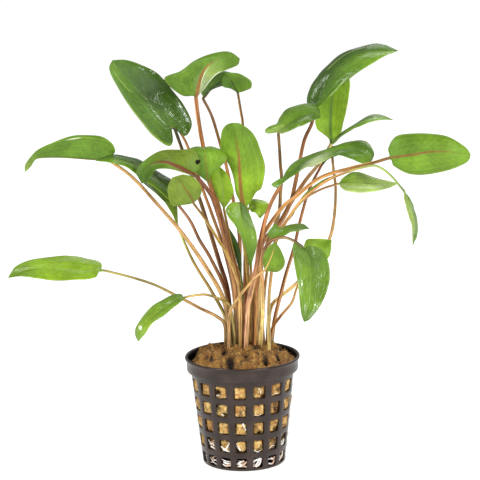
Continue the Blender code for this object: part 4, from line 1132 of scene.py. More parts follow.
def grow_leaf(name, **leaf):
    """One leaf, stalk and blade in one closed skin, on the curves of its solid.

    Places are in millimetres: the stalk's foot and route, the blade's margins and rib, and its tip.
    With the tip up and the left margin at the left, a top side of 1 puts the glossy face behind, and
    -1 puts it in front. Browns run up the stalk, whose edges are painted lighter as painted light, and
    greens, partly painted light, along the blade. An edge, or a pale line that is a crease on some leaves
    and a painted reflection on others, takes up a share of the blade's length, and a spot has a place, a
    size, a colour and a strength.
    """
    seed = sum(ord(letter) * (place + 1) for place, letter in enumerate(name)) % 97
    route = [(*leaf["foot"], LEAF_FOOT - SUNK), (*leaf["foot"], LEAF_FOOT), *leaf["stalk"]]
    length = np.linalg.norm(np.diff(np.array(route, float), axis=0), axis=1).sum()
    path = smooth_curve(route, int(length / STALK_STEP) + 2)
    radii = np.linspace(STALK_SPREAD, STALK_TAPER, len(path)) ** 1.5 * leaf["thick"] / 2
    radii *= [1 + 0.07 * noise.noise((0.35 * number, seed, 1.0)) for number in range(len(path))]
    tip = np.array(leaf["tip"], float)
    left, rib, right = (smooth_curve([tuple(path[-1]), *leaf[part], tip], BLADE_ROWS + 2)
                        for part in ("left", "rib", "right"))
    blades, blade_gaps, folds = [], [], []
    for index in range(1, BLADE_ROWS + 1):
        share = index / (BLADE_ROWS + 1)
        along = unit(rib[index + 1] - rib[index - 1])
        least = radii[-1] * (1 - share)
        reaches = (edge[index] - rib[index] for edge in (left, right))
        to_left, to_right = (unit(reach) * max(np.linalg.norm(reach), least) for reach in reaches)
        upward = unit(np.cross(along, unit(to_right) - unit(to_left)))
        flat = blade_ring(share, rib[index], to_left, to_right, upward, radii[-1], leaf["top_side"], seed)
        if share < FOOT_SHARE:
            tube = round_ring(rib[index], radii[-1], unit(unit(to_right) - unit(to_left)), upward)
            flat = tube + smooth_step(share / FOOT_SHARE) * (flat - tube)
        blades.append(flat)
        for corner in range(RING):
            place, upward_side = side_of(corner)
            reach = np.linalg.norm(to_right if place > 0 else to_left)
            half_width = rib_half_width(leaf, share, radii[-1], upward_side == (leaf["top_side"] > 0))
            blade_gaps.append(abs(place) * reach / half_width)
            folds.append(fold_and_sheen_line(leaf, share, place, reach))
    across = unit(blades[0][len(ACROSS) - 1] - blades[0][0])
    stalks = []
    for index in range(len(path) - 1, -1, -1):
        along = unit(path[min(index + 1, len(path) - 1)] - path[max(index - 1, 0)])
        across = unit(across - np.dot(across, along) * along)
        stalks.append(round_ring(path[index], radii[index], across, np.cross(along, across)))
    stalks.reverse()
    rings = stalks + blades
    points = [tuple(point * MM) for ring in rings for point in ring] + [tuple(tip * MM)]
    last = (len(rings) - 1) * RING
    faces = [tuple(range(RING)), *ring_faces(len(rings), RING)]
    faces += [(last + corner, last + (corner + 1) % RING, len(points) - 1) for corner in range(RING)]
    heights = [*np.linspace(-1, 0, len(stalks)),
               *(row / (BLADE_ROWS + 1) for row in range(1, BLADE_ROWS + 1))]
    spreads, finishes = [[(0.0, -1.0)] * RING], [0]
    for row, low in enumerate(heights):
        for corner in range(RING):
            upper = corner < len(ACROSS) - 1
            shift = 0.0 if upper else 2.0
            here, there = (shift + (side_of(end)[0] + 1) / 2 for end in (corner, (corner + 1) % RING))
            if row + 1 < len(heights):
                high = heights[row + 1]
                spreads.append([(here, low), (there, low), (there, high), (here, high)])
            else:
                spreads.append([(here, low), (there, low), ((here + there) / 2, 1.0)])
            is_top = upper == (leaf["top_side"] > 0)
            finishes.append(0 if row < len(stalks) else 1 if is_top else 2)
    mesh = bpy.data.meshes.new(name + "_fine")
    mesh.from_pydata(points, [], faces)
    uv = mesh.uv_layers.new(name="leaf")
    uv.uv.foreach_set("vector", [value for face in spreads for corner in face for value in corner])
    mesh.polygons.foreach_set("material_index", finishes)
    for look in (stalk_look, upper_look, lower_look):
        mesh.materials.append(look)
    paint_leaf(mesh, leaf, len(stalks), [0.0] * (len(stalks) * RING) + blade_gaps + [0.0], folds)
    piece = add_object(name + "_fine", mesh)
    turn_out(piece)
    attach(piece, "root")
    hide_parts(name)


# Six leaves lean to the left and arch over, most of them with the paler underside of the blade
# turned to the front. The curled one rolls its far edge over, and the one behind it has a black spot.
grow_leaf(
    "leaf_left_shelf", top_side=-1, thick=1.8, pale_fade=0.3, rib_brown="olive", rib_size=0.4,
    browns="brown rust orange rust rust rust", greens="mid mid mid mid pale",
    edges=[(-1, 0.40, 0.55, "white", 0.8)],
    foot=(-5.0, 4),
    stalk=[(-7.9, 2, 77), (-15, 0, 92.7), (-26.7, 0, 111), (-40, 0, 127.6), (-50.4, 0, 139.4),
           (-61.5, 0, 148)],
    left=[(-58, -2, 150.5), (-57.6, -4, 154), (-61, -5, 157.8), (-72, -6, 159.2), (-85, -5.5, 157.6),
          (-92.5, -4, 154), (-97.3, -2.5, 149.9), (-100, -1.5, 145.8)],
    rib=[(-70, 0, 148.5), (-82, 0, 149.3), (-92, 0, 149.2), (-95.3, 0, 148.3), (-97.3, 0, 145.4)],
    right=[(-59, 3, 151), (-60, 6, 155), (-66, 8, 157.5), (-77, 8, 158), (-88, 6, 155), (-94, 3, 151),
           (-98.6, 1, 146)],
    tip=(-100.2, 0, 142.4))
grow_leaf(
    "leaf_left_arch", top_side=-1, thick=1.7, browns="black red red maroon", greens="mid mid mid fresh",
    greens_right="dark dark dark deep",
    edges=[(1, 0.45, 1.0, "silver", 0.6), (-1, 0.0, 0.9, "bright", 0.7)],
    foot=(-4.6, 7.5),
    stalk=[(-7, 7, 80), (-13.7, 6, 97), (-19.3, 6, 107.2), (-23.5, 6, 116.5), (-29.5, 6, 125)],
    left=[(-33.5, 1, 128), (-39, -1, 133.5), (-46, -3, 139.2), (-52, -6, 144.6), (-59, -9, 147.3)],
    rib=[(-33.2, 6, 131.6), (-39.2, 5, 137.5), (-47.3, 1, 144), (-57.4, -5, 148.5)],
    right=[(-29.2, 10, 130.4), (-31.4, 12, 135), (-36.6, 13, 138.4), (-45.6, 9, 145.3), (-51, 5, 148),
           (-58.8, -2, 150.4)],
    tip=(-66.4, -8, 148.5))
grow_leaf(
    "leaf_left_wedge", top_side=-1, thick=1.5, browns="black olive gold green",
    greens="bright fresh mid mid", greens_right="bright deep dark dark",
    edges=[(1, 0.55, 1.0, "silver", 0.6)],
    foot=(-6.7, 8.7),
    stalk=[(-8, 9, 68.5), (-14.3, 12, 80.7), (-22.8, 15, 95), (-29.7, 17, 111.2)],
    left=[(-32, 15.5, 117.5), (-35.4, 14.5, 123.5), (-41.1, 13, 129.8), (-45.7, 13, 134.2),
          (-49.6, 14, 138.7)],
    rib=[(-31, 17, 117.5), (-33.2, 18, 122.5), (-38.4, 20, 128.5), (-46, 20, 136)],
    right=[(-29.7, 18, 117.2), (-30.2, 20, 122.5), (-32.5, 23, 130), (-43, 23, 138)],
    tip=(-53.8, 17, 143.8))
grow_leaf(
    "leaf_left_curled", top_side=-1, thick=2.3, tone=0.8, rib_size=2.0, rib_end=0.68,
    browns="maroon red red maroon", greens="mid olive olive mid deep",
    greens_right="olive pale mid deep deep", spot=(-19.0, 147.3, 1.2, (0.010, 0.005, 0.004), 1.0),
    foot=(-1.4, 2.6),
    stalk=[(-2.5, -1, 82), (-6.5, -6, 107), (-11.3, -10, 127), (-14.5, -12, 134.3), (-19.6, -13, 141)],
    left=[(-18, -11, 146), (-20, -9, 152.4), (-25.8, -8, 153.2), (-36.6, -8, 152.4), (-44.4, -9, 147.8),
          (-47.4, -11, 143.3)],
    rib=[(-22.7, -14, 142.3), (-28.2, -15, 145.8), (-34.1, -15, 148.4), (-40.5, -14, 147),
         (-44.3, -13, 143.2)],
    right=[(-24.6, -17, 143.3), (-29.4, -19, 145.3), (-37.4, -19, 145.8), (-40.3, -18, 142.5),
           (-42.3, -16, 139.5)],
    tip=(-45, -14, 138.3))
grow_leaf(
    "leaf_left_spotted", top_side=1, thick=1.8, rib_brown="olive", rib_size=0.5, rib_end=0.6,
    browns="pink rust rust", greens="mid mid mid", greens_right="mid fresh mid",
    spot=(-19.0, 147.3, 1.2, (0.010, 0.005, 0.004), 1.0),
    foot=(1.3, 3.6),
    stalk=[(-1, 1, 82), (-4.9, -1, 101), (-8, -2, 115.5), (-11.2, -3, 128), (-14.1, -4, 136.2)],
    left=[(-19.5, -6, 141.2), (-24.5, -6, 147.3), (-24, -3, 151.6), (-20, 2, 152)],
    rib=[(-15, -6, 143.2), (-15.6, -6, 150), (-16, -3, 152.4), (-16.5, 1, 152)],
    right=[(-12.6, -6, 140.2), (-8.2, -6, 144.5), (-5, -6, 148.2), (-7.5, -3, 151.2), (-11.5, 1, 152)],
    tip=(-17, 4, 149.5))
grow_leaf(
    "leaf_left_round", top_side=1, thick=1.5, tone=0.92, pale_fade=0.2, rib_brown="brown", rib_size=0.7,
    rib_end=0.75, browns="brown tan gold brown", greens="olive olive olive",
    foot=(-0.9, -0.7),
    stalk=[(-1, -6, 86), (-6.4, -12, 104), (-9.5, -15, 110), (-15.4, -18, 121), (-21, -20, 129.5)],
    left=[(-24.9, -22, 129.4), (-30.9, -22, 129.2), (-32.7, -22, 135), (-32.5, -21, 138.5)],
    rib=[(-22.5, -20, 133.1), (-26.7, -20, 139.6), (-29, -20, 141.5)],
    right=[(-18, -21, 133), (-17.2, -22, 137), (-19.6, -22, 141.3), (-25, -21, 143.4)],
    tip=(-30.6, -20, 142))

# Five tall leaves stand behind the others at the top left. The largest shows its glossy top, and the
# hooded one beside it folds over its own stalk. One blade is hidden behind them.
grow_leaf(
    "leaf_top_left", top_side=-1, thick=2.0, rib_brown="olive", rib_size=0.6,
    browns="brown maroon brown black", greens="dark deep deep deep mid", greens_right="deep dark dark deep",
    edges=[(-1, 0.1, 0.97, "bright", 0.9)],
    folds=[(-1, 0.62, 0.92, 0.34, 0.50, 0.22, "pale", 0.7)],
    foot=(-5.4, 11.5),
    stalk=[(-6.2, 12, 79), (-10.3, 14, 95), (-16, 16, 115), (-19.4, 16, 126.5), (-26.9, 17, 149.6),
           (-30, 17.5, 159)],
    left=[(-32.3, 17, 150.8), (-39.9, 18, 155.2), (-46, 18.6, 162.5), (-53.3, 18.8, 173),
          (-58.9, 18.8, 183.5), (-60.4, 18.6, 188.6)],
    rib=[(-36.3, 17.4, 164.4), (-43.5, 16.8, 173.7), (-53.5, 17.4, 185)],
    right=[(-25.1, 18.3, 155.2), (-21.8, 19.8, 160.8), (-25.2, 21.4, 169.2), (-31, 21.3, 177.3),
           (-37.5, 17.6, 185.6), (-45.8, 15.6, 190.4), (-52.4, 16.4, 192.5)],
    tip=(-58.6, 17.6, 192.3))
grow_leaf(
    "leaf_top_left_hidden", top_side=-1, thick=1.6, browns="rust rust rust", greens="deep deep",
    foot=(-2.4, 10.6),
    stalk=[(-3.6, 13, 80), (-8, 20, 100), (-13.8, 26, 117), (-17.6, 29, 127.5), (-24.2, 32, 147.5),
           (-28.5, 34, 156)],
    left=[(-32, 32, 158), (-38, 32, 163), (-43, 34, 171)],
    rib=[(-31, 36, 162), (-35, 38, 169), (-39, 39, 175)],
    right=[(-27, 38, 162), (-28, 41, 169), (-34, 42, 175)],
    tip=(-43, 38, 180))
grow_leaf(
    "leaf_top_hood", top_side=1, thick=2.3, tone=0.86, rib_brown="bark", rib_size=1.25, rib_end=0.62,
    browns="pink rust rust rust", greens="mid mid mid mid mid", greens_right="silver silver pale mid mid",
    edges=[(1, 0.03, 0.66, "white", 0.9)],
    folds=[(1, 0.04, 0.55, 0.30, 0.16, 0.22, "white", 0.75)],
    foot=(0.2, 10.4),
    stalk=[(-2, 10, 85), (-7.5, 11, 111.7), (-12.6, 11, 132.6), (-16.4, 10, 150.7), (-18.4, 8, 164.4),
           (-19.4, 8, 175)],
    left=[(-26.6, 6, 176.8), (-34, 4, 184.6), (-26.3, 4, 188.1), (-19.5, 3, 193), (-11.6, 3, 196),
          (-3.4, 2, 197)],
    rib=[(-17.8, 6, 181), (-16.3, 4, 186), (-13.6, 2, 190.6), (-8, 0, 194), (-2, -1, 194.6)],
    right=[(-15.8, 6, 178.6), (-12.9, 3, 182.7), (-9.3, 1, 186.5), (-5, -1, 188.7), (-1.4, -2, 190.2),
           (0.9, -2, 191.4)],
    tip=(1.6, -1, 194))
grow_leaf(
    "leaf_top_dark", top_side=-1, thick=1.7, tone=0.72, browns="red red rust brown", greens="mid deep dark",
    greens_right="dark dark dark",
    foot=(-0.9, 13.8),
    stalk=[(-0.4, 16, 90), (-0.3, 18, 107), (-2.8, 19, 123.5), (-6.2, 19, 142), (-8.3, 20, 149.8),
           (-12.2, 21, 164), (-16.4, 22, 172.7)],
    left=[(-17, 25, 176.5), (-12.5, 27, 181), (-6, 27, 185)],
    rib=[(-11.5, 23, 178), (-5, 24, 182)],
    right=[(-14.8, 19, 175), (-11.4, 18, 177.2), (-7.4, 18, 178.8), (-3.5, 19, 179.6), (0, 21, 181.5)],
    tip=(2, 24, 182.4))
grow_leaf(
    "leaf_top_small", top_side=1, thick=1.5, rib_brown="black", rib_size=0.7, rib_end=0.7,
    browns="rust rust brown", greens="deep deep deep", greens_right="mid mid mid",
    foot=(1.9, 13.9),
    stalk=[(3.4, 15, 90), (3.2, 16, 120), (2.9, 15, 145), (2.4, 15, 161), (1.6, 14, 167.2),
           (0.4, 14, 175.8)],
    left=[(-3, 12, 178.3), (-6.5, 10, 179.6), (-7, 10, 183)],
    rib=[(-1, 14, 178.2), (-2.4, 13, 181.4), (-4.4, 12, 184.8)],
    right=[(5, 12, 177.6), (6.7, 12, 178.8), (6.8, 12, 181.5), (4.7, 12, 183.5), (0.8, 12, 185.5)],
    tip=(-5.3, 12, 186.2))

# Five leaves fill the middle. The tall one's greens are painted bright low down and darker towards its tip,
# as painted light that shines through it from behind, and the hanging one bends down at the end of its stalk
# and shows a groove along its rib.
grow_leaf(
    "leaf_centre_tall", top_side=1, thick=2.3, tone=0.92, rib_brown="bark", rib_size=1.15,
    browns="pink rust rust", greens="bright bright fresh mid",
    edges=[(-1, 0.0, 0.34, "silver", 0.6)],
    foot=(1.4, 7.3),
    stalk=[(2.2, 5, 85), (2.6, 3, 105), (2.5, 1, 121.5)],
    left=[(-0.2, 0, 127.2), (-1.6, -1, 131.2), (-2.5, -1, 137.8), (-4.6, 1, 144), (-8.3, 2, 150),
          (-7.6, 2, 159.2), (-5.4, -1, 163)],
    rib=[(0.8, 0, 129.6), (0.5, -1, 139.4), (0.2, -2, 149.1), (-1, -3, 157.5)],
    right=[(5.5, 1, 126.1), (8, 1, 130.4), (10.5, 1, 132.2), (12, 0, 138), (12.3, 0, 144), (10.2, 0, 151.4),
           (8.5, -1, 156.4), (5.7, -2, 160.5), (1, -4, 164)],
    tip=(-2.6, -5, 164.6))
grow_leaf(
    "leaf_centre_left", top_side=1, thick=1.5, rib_brown="green", rib_size=0.4, browns="brown rust gold",
    greens="bright bright bright",
    foot=(-1.5, 6.4),
    stalk=[(-0.6, 4, 84), (-4, 1, 104), (-7.3, 0, 123)],
    left=[(-9.5, -1, 127.2), (-12, -2, 133.3), (-13, -2, 138.3), (-11.6, -1, 142.2)],
    rib=[(-7.3, -1.4, 130), (-8, -2, 137)],
    right=[(-4, -1, 127.5), (-2.5, -3, 131.4), (-3.4, -3, 135.8), (-5.7, -3, 140.7)],
    tip=(-9, -1, 143.6))
grow_leaf(
    "leaf_centre_hanging", top_side=1, thick=1.7, tone=0.85, browns="tan gold olive",
    greens="bright fresh fresh mid mid", greens_right="deep mid fresh mid mid",
    foot=(3.9, 3.8),
    stalk=[(4.2, 0, 78), (2.6, -4, 100), (0.5, -7.5, 118), (-0.4, -10, 127.6)],
    left=[(-3.4, -11, 128.2), (-6.3, -12.5, 125.2), (-5.0, -15, 121.6), (-2.4, -16, 118.4), (0, -17, 114.0),
          (2.2, -17, 108.4), (3.5, -17, 102)],
    rib=[(-0.1, -12, 127.4), (0.5, -14, 122.8), (1.5, -15, 117.4), (3, -16, 110.8), (4.3, -16, 100.7)],
    right=[(1.8, -10.5, 127.6), (4.2, -11.5, 123.8), (5.8, -13, 120), (7.3, -14, 115.5), (7.9, -15, 110.8),
           (7.2, -15, 106.0), (5.7, -16, 100.7)],
    tip=(4.7, -16, 97))
grow_leaf(
    "leaf_centre_small", top_side=-1, thick=1.3, tone=1.2, browns="brown tan", greens="bright bright fresh",
    foot=(4.4, 9.4),
    stalk=[(5, 9, 85), (4.6, 8, 105), (4, 7, 121.5)],
    left=[(6, 10, 125.3), (10, 11, 125.2), (13.6, 10, 123.4), (13, 9, 120)],
    rib=[(7, 7, 123.2), (10, 7, 122), (10.8, 6, 120)],
    right=[(5.5, 4, 121), (7.7, 3, 119.8)],
    tip=(9.7, 5, 117.1))
grow_leaf(
    "leaf_inner_young", top_side=-1, thick=1.4, browns="green green", greens="dark dark deep",
    foot=(2.6, 11),
    stalk=[(1.2, 9, 75), (0.2, 8, 88)],
    left=[(-1.8, 7.5, 96), (-4.3, 7, 106)],
    rib=[(-0.6, 8, 96), (-2.8, 8, 104.5)],
    right=[(0.6, 7.5, 96), (-1, 7, 105)],
    tip=(-6.2, 7, 114.5))

# Ten leaves lean to the right on long bowed stalks. The far one shows a pale underside with a brown
# rib, and the narrow one beside it droops from the end of its arch.
grow_leaf(
    "leaf_right_shelf", top_side=-1, thick=1.8, tone=0.8, browns="straw straw brown brown",
    greens="pale fresh mid mid mid", greens_right="pale mid mid mid",
    foot=(6.8, 9.7),
    stalk=[(9.3, 9.3, 88), (12.6, 9, 103), (18.4, 7, 117.8), (19.7, 6, 130.2), (20.2, 5, 136.7),
           (19.7, 3, 143.2), (19.3, 0, 152), (18.9, 0, 158.4)],
    left=[(16.2, 1, 158.2), (13.2, 1.5, 158.4), (12.8, 2.5, 159.8), (14.4, 4, 161), (18.2, 6, 162.2),
          (19.9, 8, 165.2), (23.8, 9, 168.8), (31, 10, 170.7), (36.3, 8, 170.9), (38.4, 4, 169)],
    rib=[(19.8, 0.5, 159.8), (23, 0, 162.5), (29.5, 1, 166), (35, 1, 167)],
    right=[(20.5, -2.5, 158.6), (23.5, -5.5, 160.2), (26.8, -7.5, 161.8), (30.6, -8, 163.3),
           (34.8, -6, 164.8)],
    tip=(38.8, 0, 165.4))
grow_leaf(
    "leaf_top_right", top_side=-1, thick=2.0, browns="red rust red", greens="dark dark dark deep",
    greens_right="deep deep mid fresh",
    edges=[(1, 0.2, 0.45, "fresh", 0.6)],
    # The pale line along the upper half, between rib and margin, is a painted reflection.
    folds=[(-1, 0.34, 0.74, 0.40, 0.52, 0.35, "pale", 0.75)],
    foot=(4.5, 13),
    stalk=[(6.5, 17, 85), (10.5, 19, 96), (17.6, 20, 108), (24.3, 19, 121), (27.7, 16, 135.2),
           (31.3, 13, 152.4), (35.3, 13, 161.5), (35.8, 13, 169.3)],
    left=[(34.6, 14.5, 168), (33, 16.5, 170), (33.6, 18, 174.6), (37.0, 20, 180.8), (43, 22, 187.2),
          (50.6, 22, 193), (58.9, 21, 195.9), (68.2, 18, 197.4)],
    rib=[(37.7, 13, 170.2), (40.5, 13, 176.7), (43.9, 13, 183.3), (51.2, 13, 189.6), (61, 13, 193.8)],
    right=[(36.2, 9, 169), (38.9, 6, 170.2), (43.6, 4, 174.5), (48.1, 3, 179.3), (57.6, 4, 186.4),
           (66.9, 6, 191.6), (71.8, 9, 193.5)],
    tip=(76.2, 13, 194.6))
grow_leaf(
    "leaf_right_upright", top_side=1, thick=1.6, stalk_tone=1.2, rib_brown="moss", rib_size=1.4,
    browns="straw tan brown", greens="bright fresh fresh", greens_right="bright bright fresh",
    foot=(12.4, 12.8),
    stalk=[(14.1, 17, 70), (19.1, 18.5, 75.7), (27.6, 21, 82), (37, 24, 91), (43.5, 26, 102.5),
           (45.8, 27, 112), (46.8, 27, 126), (45.8, 27, 136), (44.7, 27, 149)],
    left=[(43, 26, 152), (40.6, 26, 154), (37.9, 26, 156.7), (37.2, 26, 163), (38.5, 26, 172)],
    rib=[(44.4, 28, 156), (45, 29, 166), (46.3, 29, 175)],
    right=[(47.5, 27, 151), (49.6, 28, 153.5), (51, 28, 159.2), (52.4, 28, 165), (53.6, 27, 172),
           (53.8, 26, 180)],
    tip=(48.8, 27, 184.5))
grow_leaf(
    "leaf_right_thin", top_side=-1, thick=2.1, rib_brown="green", rib_size=0.6,
    browns="rust red red red rust straw", greens="mid mid fresh",
    foot=(10.0, 11),
    stalk=[(8.5, 13, 80), (10.3, 15, 102), (17.9, 16, 110.8), (24.8, 16, 122.4), (31.8, 16, 133),
           (39, 16, 141.7), (44.2, 16, 150.3)],
    left=[(48.6, 20, 153.8), (53.5, 23, 156.4), (63.2, 23, 161.8), (68.2, 22, 162.5)],
    rib=[(48.2, 15, 154.4), (53.1, 14, 157.4), (62.5, 14, 162.4), (69, 14, 163)],
    right=[(47.8, 11, 154.6), (52.5, 7, 158), (61.9, 6, 162), (67, 7, 162.8)],
    tip=(73.8, 14, 161.6))
grow_leaf(
    "leaf_right_arch", top_side=-1, thick=2.2, stalk_tone=1.2, browns="pink pink red rust",
    # The silver band across the right half and the silver stretch of its right margin are a painted
    # reflection.
    greens="mid mid mid mid deep mid", greens_right="mid mid deep silver deep deep fresh",
    edges=[(-1, 0.5, 0.92, "white", 0.9), (1, 0.34, 0.58, "silver", 0.8)],
    folds=[(-1, 0.5, 0.9, 0.5, 0.86, 0.5, "pale", 0.7)],
    foot=(1.9, 0.2),
    stalk=[(3, -3, 75), (5.6, -7, 88), (8.1, -9, 100.2), (9.7, -9.5, 110), (12, -9, 119.2), (15, -7, 127),
           (20, -4, 135.2)],
    left=[(20.8, -2, 138), (25.3, 5, 143), (33.8, 7, 146.8), (43.3, 8, 149.2), (52.6, 8, 152.4),
          (60.4, 6, 152.9), (63.8, 1, 148)],
    rib=[(24, -2, 140), (31, -2, 145), (40, -2, 148.5), (50, -2, 150.3), (58, -2, 149)],
    right=[(15, -3, 135.2), (17.6, -5, 133.6), (22.4, -6, 136.9), (29.9, -9, 142.7), (35.6, -13, 145),
           (44.6, -11, 149.1), (51.4, -8, 147.4), (57.6, -5, 144.2)],
    tip=(61.6, -2, 143.2))
grow_leaf(
    "leaf_right_hidden", top_side=-1, thick=1.6, browns="red red", greens="dark deep",
    foot=(14.2, 9.6),
    stalk=[(15.9, 11, 66), (18.9, 13, 77.4), (22, 15, 88.2), (26, 18, 100), (29, 20, 112),
           (33.7, 21, 127.5), (39.7, 20, 139.5)],
    left=[(39.6, 22, 143.4), (42.5, 24, 146.8), (48, 24.6, 148.4)],
    rib=[(42.5, 20, 143.6), (47, 20.5, 146), (51, 21, 146.8)],
    right=[(43.2, 18, 142.6), (48.5, 18, 145.0), (53, 19.5, 145.6)],
    tip=(56.5, 21, 145.6))
grow_leaf(
    "leaf_far_right", top_side=1, thick=1.9, tone=0.86, pale_fade=0.3, rib_brown="brown", rib_size=0.8,
    browns="straw tan orange orange brown", greens="mid mid fresh fresh",
    greens_right="mid fresh fresh fresh",
    foot=(6.9, 2.8),
    stalk=[(7.4, -2, 88), (8.6, -5, 104.3), (10.8, -6, 111.4), (19.9, -7, 124.2), (26.1, -8, 129.5),
           (37.8, -8, 138.3), (51.7, -9, 142.7), (61.4, -10, 145), (69.4, -11, 147.4)],
    left=[(69.4, -10, 151.6), (73.2, -9, 157.3), (81.9, -8, 158.4), (91.4, -8, 157.9), (98, -9, 156.5),
          (104.6, -10, 152.4), (106.8, -11, 150)],
    rib=[(74.9, -12, 148.4), (81.7, -13, 149.3), (88.6, -13, 150.3), (97.9, -13, 150.1)],
    right=[(70.7, -12, 145.7), (72.1, -12, 143.7), (78.4, -12, 140.2), (86.3, -12, 139.5), (97, -12, 141.3),
           (104.4, -12, 144.1), (106.9, -12, 146.2)],
    tip=(107.5, -12, 148.3))
grow_leaf(
    "leaf_right_droop", top_side=1, thick=1.3, browns="straw straw orange orange orange orange green moss",
    greens="pale pale mid", greens_right="fresh mid mid",
    foot=(12.8, -4.4),
    stalk=[(13, -4, 76), (14.2, -4.5, 90), (16.6, -6, 106.6), (20.1, -7, 114.7), (28.3, -9, 127.2),
           (39.9, -13, 137.2), (51.5, -14, 142.3), (61.1, -15, 144.7), (65.3, -15, 143.8),
           (70.2, -16, 140.1), (76.2, -17, 133)],
    left=[(76.2, -20, 129), (77.4, -22, 124.5), (79.2, -22, 118.5), (80.2, -20, 113)],
    rib=[(78.2, -17, 129), (79.9, -17, 123.5), (81.2, -17, 117)],
    right=[(79.7, -14, 128.2), (81.5, -11, 123.7), (82.8, -11, 118.2), (82.9, -13, 112.7)],
    tip=(80.3, -16, 106.8))
grow_leaf(
    "leaf_right_pale", top_side=1, thick=1.3, tone=1.45, rib_brown="green", rib_size=0.3,
    browns="tan tan orange", greens="fresh pale pale", greens_right="pale pale pale",
    edges=[(1, 0.05, 0.9, "white", 0.5)],
    folds=[(1, 0.06, 0.85, 0.52, 0.55, 0.9, "white", 0.35)],
    foot=(9.4, 7.6),
    stalk=[(11.6, 4, 85), (15.8, 3, 104), (22, 3, 116), (30, 3, 125.6), (38, 3, 130.6), (46.6, 4, 133.2)],
    left=[(50, 6, 136.4), (55.3, 8, 138), (64.3, 8, 135.5), (70, 6, 133.8)],
    rib=[(55, 3, 133.3), (65, 3, 132.7)],
    right=[(48, 1, 131.9), (51, -1, 130.3), (59.1, -3, 129.7), (68.6, -1, 130.8)],
    tip=(75.2, 3, 133))
grow_leaf(
    "leaf_right_young", top_side=-1, thick=1.2, browns="tan gold", greens="fresh fresh",
    foot=(8.8, 4.6),
    stalk=[(12.5, 1, 91.8), (18, -1, 110.6), (24.8, -3, 120)],
    left=[(30.1, -2.5, 129.3), (38.7, -3.5, 136.2)],
    rib=[(31, -4.5, 129.1), (39.2, -5.5, 135.5)],
    right=[(31.5, -3, 128.1), (39.6, -4, 134.8)],
    tip=(46, -6, 139.5))

# Six lower leaves leave the bundle early. Two reach far out to the left, and the broad glossy one in
# front hangs from a pale stalk.
grow_leaf(
    "leaf_front_right", top_side=1, thick=1.6, tone=0.8, stalk_tone=1.45,
    browns="straw straw rust maroon black", greens="mid fresh fresh mid", greens_right="mid mid fresh mid",
    foot=(8.5, 0.2),
    stalk=[(9.9, -5, 71.5), (10.2, -10, 87), (9.9, -15, 102.5), (13.7, -18, 110.2), (19.7, -21, 113),
           (24.6, -24, 112), (28.6, -26, 109.5)],
    left=[(24.6, -26, 111), (24.5, -26, 103.2), (26.2, -27.3, 92.6), (27.3, -31.3, 80.3)],
    rib=[(31.5, -24.3, 103.5), (32.4, -25.4, 92), (30.8, -30.3, 82.3)],
    right=[(33, -22.4, 109.1), (37.9, -22.3, 107), (40.7, -22.8, 101), (41, -24.4, 92.2), (37.2, -29, 83.4),
           (31.6, -32.2, 76.8)],
    tip=(28.6, -32.8, 75.5))
grow_leaf(
    "leaf_right_behind", top_side=-1, thick=1.3, browns="brown rust tan gold", greens="pale bright fresh",
    foot=(13.4, 6),
    stalk=[(14.6, 4, 63.5), (18.5, 0, 70.4), (22.4, -3, 75.7), (24.4, -5, 79.2), (26.8, -7, 86.6),
           (32.7, -8, 96)],
    left=[(29.7, -9, 101), (30.7, -10, 109), (35.5, -11, 110)],
    rib=[(35.5, -8, 102), (39, -8, 106)],
    right=[(37.6, -9, 97.2), (41.5, -10, 101), (42.5, -11, 105)],
    tip=(42.8, -11, 109.3))
grow_leaf(
    "leaf_right_dark", top_side=-1, thick=1.3, browns="rust rust red", greens="mid mid deep",
    foot=(6.3, -0.8),
    stalk=[(7.6, -6, 85), (10.4, -12, 101.3), (13.8, -13.5, 110.7)],
    left=[(12.8, -12, 113.4), (16.7, -11, 117.4), (19, -10.5, 115.2), (23.6, -10, 116.8),
          (28.8, -10, 117.2)],
    rib=[(18.4, -14, 113.2), (24.3, -14.5, 115.8), (29, -14, 116.2)],
    right=[(16.1, -15.5, 111.4), (19.8, -17, 112.6), (23.3, -18, 114.7), (28, -17.5, 115.3)],
    tip=(32.5, -13, 115.3))
grow_leaf(
    "leaf_front_round", top_side=1, thick=1.3, tone=0.82, rib_size=0.45, browns="pink tan tan",
    greens="olive fresh fresh",
    foot=(-6.4, 0),
    stalk=[(-6, -6, 70), (-4.9, -11, 76.6), (-0.5, -16, 84.8), (5.6, -20, 92.8), (11.3, -22, 97.8)],
    left=[(10.3, -22, 101.5), (11.3, -22, 106.4), (13.8, -22, 109.5)],
    rib=[(13.2, -23, 101.8), (15.1, -24, 106.6)],
    right=[(16.4, -23, 97), (19.5, -23, 98.8), (20.6, -24, 102.7), (18.8, -24, 107.6)],
    tip=(16.4, -23, 111.4))
grow_leaf(
    "leaf_far_left", top_side=-1, thick=1.4, tone=0.88, browns="brown rust olive olive",
    greens="bright bright bright fresh",
    foot=(-7.9, 3.8),
    stalk=[(-8.1, 3.2, 66), (-12, 3, 70.3), (-20, 3, 74.6), (-29, 3, 79.8), (-40.4, 3, 86), (-50.5, 2, 90),
           (-64.6, 0, 94.5)],
    left=[(-67, -4, 94.4), (-68.6, -6, 92.4), (-76.2, -8, 91.8), (-86.8, -8, 91.8), (-95, -7, 92.8),
          (-104, -4, 93)],
    rib=[(-75, 0, 94.7), (-88, 0, 96), (-100, 0, 95.5)],
    right=[(-65.9, 4, 96.6), (-68.4, 6, 98), (-77.7, 8, 99.8), (-87.6, 8, 100.3), (-101, 7, 98.6),
           (-107.2, 4, 96.2)],
    tip=(-110.4, 0, 91.8))
